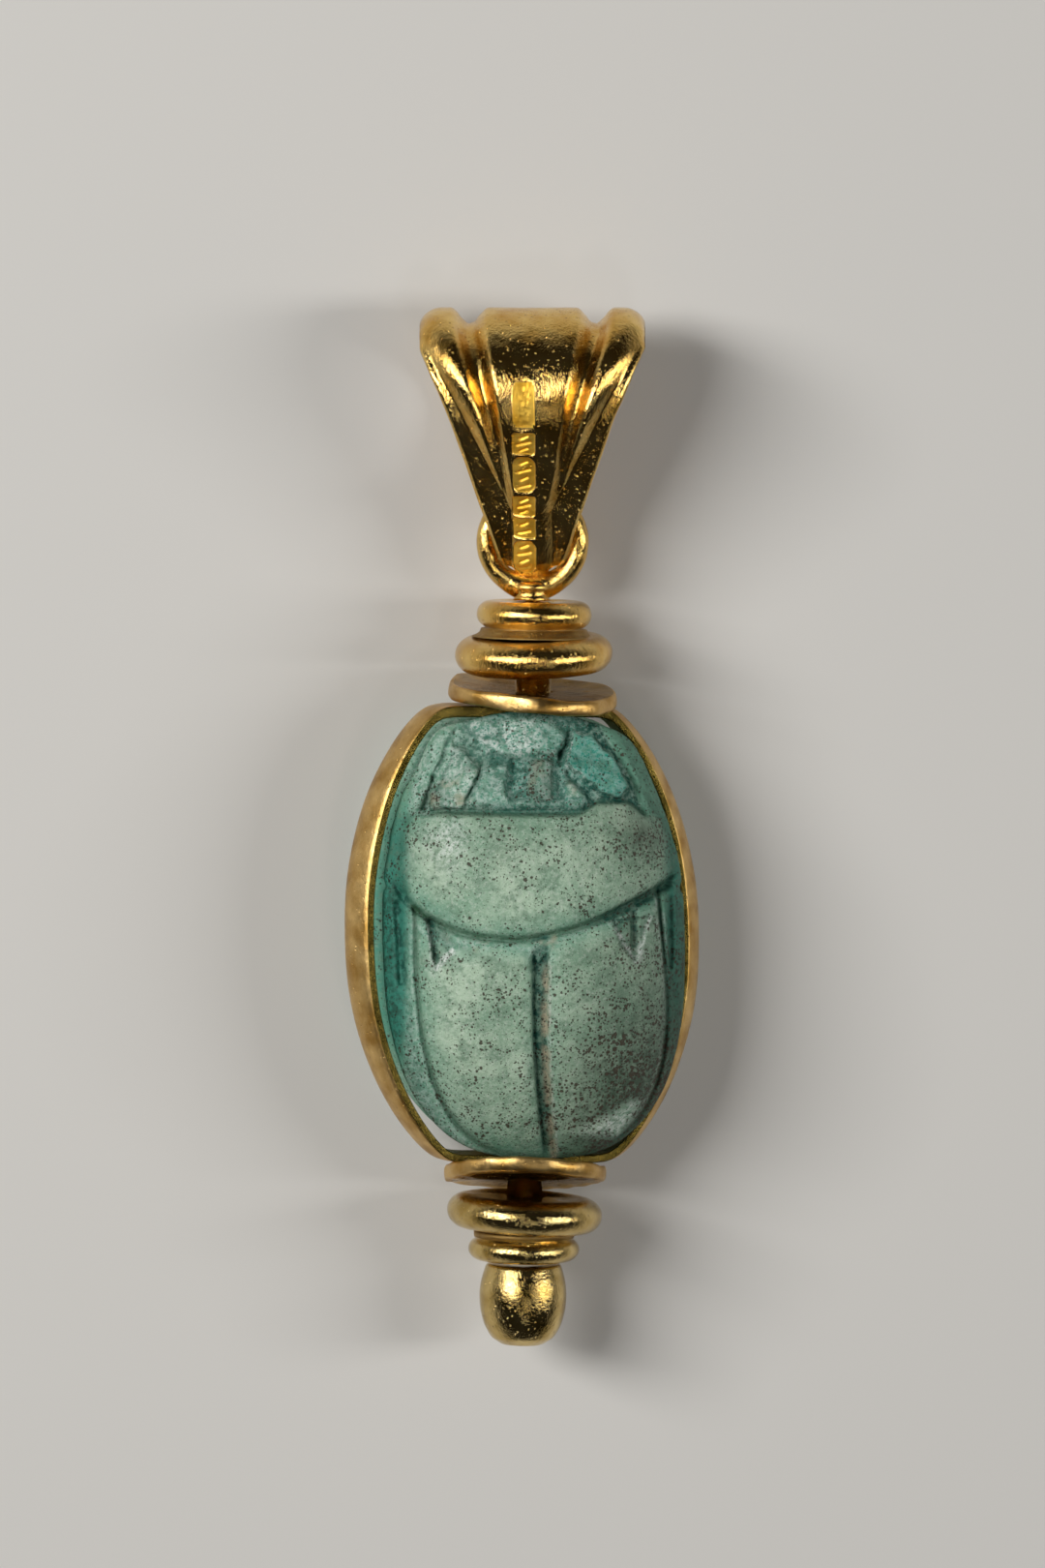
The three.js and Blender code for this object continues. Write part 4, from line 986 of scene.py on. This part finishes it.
def bail_mesh():
    """The sheet's outer and inner face round the whole fold, sunk by flutes and stamps."""
    y0, z0, normal_y, normal_z = [values[:, None] for values in bail_stations(*BAIL_STEPS)]
    half = bail_half_width(y0, z0)
    strip = np.linspace(-0.9, 0.3, 41)[None, :]
    strip = STAMP_CENTRE + (strip - STAMP_CENTRE) * np.minimum(1, half / 1.6)
    left = strip[:, :1] + (-half - strip[:, :1]) * np.linspace(1, 0, 40, endpoint=False)[None, :]
    right = strip[:, -1:] + (half - strip[:, -1:]) * np.linspace(0, 1, 41)[None, 1:]
    outer = np.concatenate([left, strip, right], 1)
    inner = half * np.linspace(1, -1, 25)[None, :]
    x = np.concatenate([outer, inner], 1)
    below = np.concatenate([np.zeros(outer.shape[1]), np.full(inner.shape[1], BAIL_SHEET)])[None, :]
    y_wide, z_wide = np.broadcast_to(y0, x.shape), np.broadcast_to(z0, x.shape)
    front = (below == 0) * (z_wide > 0) * (y_wide < STAMPS_END)
    pad, bars = stamp_marks(x, y_wide, front)
    sink = bail_sink(x, y_wide) + below + PAD_DEPTH * pad + TICK_DEPTH * bars
    # fine drawn lines run along the bottom of each flute
    along, off = flute_place(x, y_wide)
    drawn = np.sin(off * 17) * rise(1, 0.5, np.abs(off)) * rise(0, 0.2, along)
    sink = sink + DRAWN_DEPTH * drawn * (below == 0)
    # the outer corners of the sheet are rounded off
    corner = rise(0.16, 0, half - np.abs(x))
    sink = sink + corner * np.where(below == 0, 0.1, -0.1)
    points = np.stack([x, y_wide - normal_y * sink, z_wide - normal_z * sink], -1).reshape(-1, 3)
    faces = loop_faces(x.shape[0], x.shape[1])
    return points, faces.tolist(), (pad > 0.5).reshape(-1).astype(int)


# Struck by a steel punch: the eye sees small matt yellow fields beside the polish.
stamped_gold = gold("stamped_gold", ("#f0b535", "#fdd05a"), 0.6, 0.45, (4.0, 4.0, 4.0), 0.04)
bail_points, bail_faces, bail_material = bail_mesh()
bail_points = hand_wobble(hand_wobble(bail_points, 3.0, 0.03, 60), 0.9, 0.016, 61) - (0, RING_CENTRE, 0)
bail_turn = np.array(Matrix.Rotation(BAIL_LEAN, 3, "Z"))
bail_points = bail_points @ bail_turn.T + (EYE_SHIFT, RING_CENTRE, 0)
add_piece("bail", on_spindle(bail_points), bail_faces, [polished_gold, stamped_gold], "spindle",
          face_material=bail_material)

# ---------------------------------------------------------------- table, light and camera
# The pendant lies on a plain pale table between two tall soft lights, with a weak small one
# over its lower end. It is seen from above, a little from its left and its top.

TABLE_HALF = 0.6
table_mesh = bpy.data.meshes.new("table")
table_mesh.from_pydata([(-TABLE_HALF, -TABLE_HALF, 0), (TABLE_HALF, -TABLE_HALF, 0),
                        (TABLE_HALF, TABLE_HALF, 0), (-TABLE_HALF, TABLE_HALF, 0)], [], [(0, 1, 2, 3)])
table = bpy.data.objects.new("table", table_mesh)
bpy.context.collection.objects.link(table)
# Heavy matt paper: the eye sees an even, warm pale grey with soft shadows.
paper, _, paper_shader = new_material("matt_paper")
paper_shader.inputs["Base Color"].default_value = linear("#d8d5cf")
paper_shader.inputs["Roughness"].default_value = 0.9
table_mesh.materials.append(paper)

world = bpy.data.worlds.new("studio")
world.use_nodes = True
world.node_tree.nodes["Background"].inputs["Color"].default_value = linear("#9a9a9c")
world.node_tree.nodes["Background"].inputs["Strength"].default_value = 0.07
bpy.context.scene.world = world


def soft_light(name, place, width, height, power):
    data = bpy.data.lights.new(name, "AREA")
    data.shape = "RECTANGLE"
    data.size, data.size_y = width, height
    data.energy = power
    light = bpy.data.objects.new(name, data)
    light.location = place
    light.rotation_euler = (Vector((0, 0, 0)) - Vector(place)).to_track_quat("-Z", "Y").to_euler()
    bpy.context.collection.objects.link(light)


soft_light("left_light", (-0.27, 0.09, 0.28), 0.11, 0.24, 1.3)
soft_light("right_light", (0.28, 0.02, 0.24), 0.06, 0.2, 0.46)
soft_light("low_light", (0.02, -0.13, 0.38), 0.05, 0.04, 0.05)

LENS = 250.0
SENSOR = 36.0
VIEW_HEIGHT = 70.4 * MM
aim = Vector((-0.0004, 0.00678, PIN_HEIGHT * MM))
lean_left, lean_up, roll = math.radians(7), math.radians(4), math.radians(0.93)
towards = Vector((-math.sin(lean_left) * math.cos(lean_up), math.sin(lean_up),
                  math.cos(lean_left) * math.cos(lean_up)))
camera_data = bpy.data.cameras.new("camera")
camera_data.lens = LENS
camera_data.sensor_width = SENSOR
camera = bpy.data.objects.new("camera", camera_data)
camera.location = aim + towards * (VIEW_HEIGHT * LENS / SENSOR)
right = Vector((0, 1, 0)).cross(towards).normalized()
axes = Matrix((right, towards.cross(right), towards)).transposed()
camera.rotation_euler = (axes @ Matrix.Rotation(roll, 3, "Z")).to_euler()
bpy.context.collection.objects.link(camera)
bpy.context.scene.camera = camera
bpy.context.scene.view_settings.view_transform = "Standard"
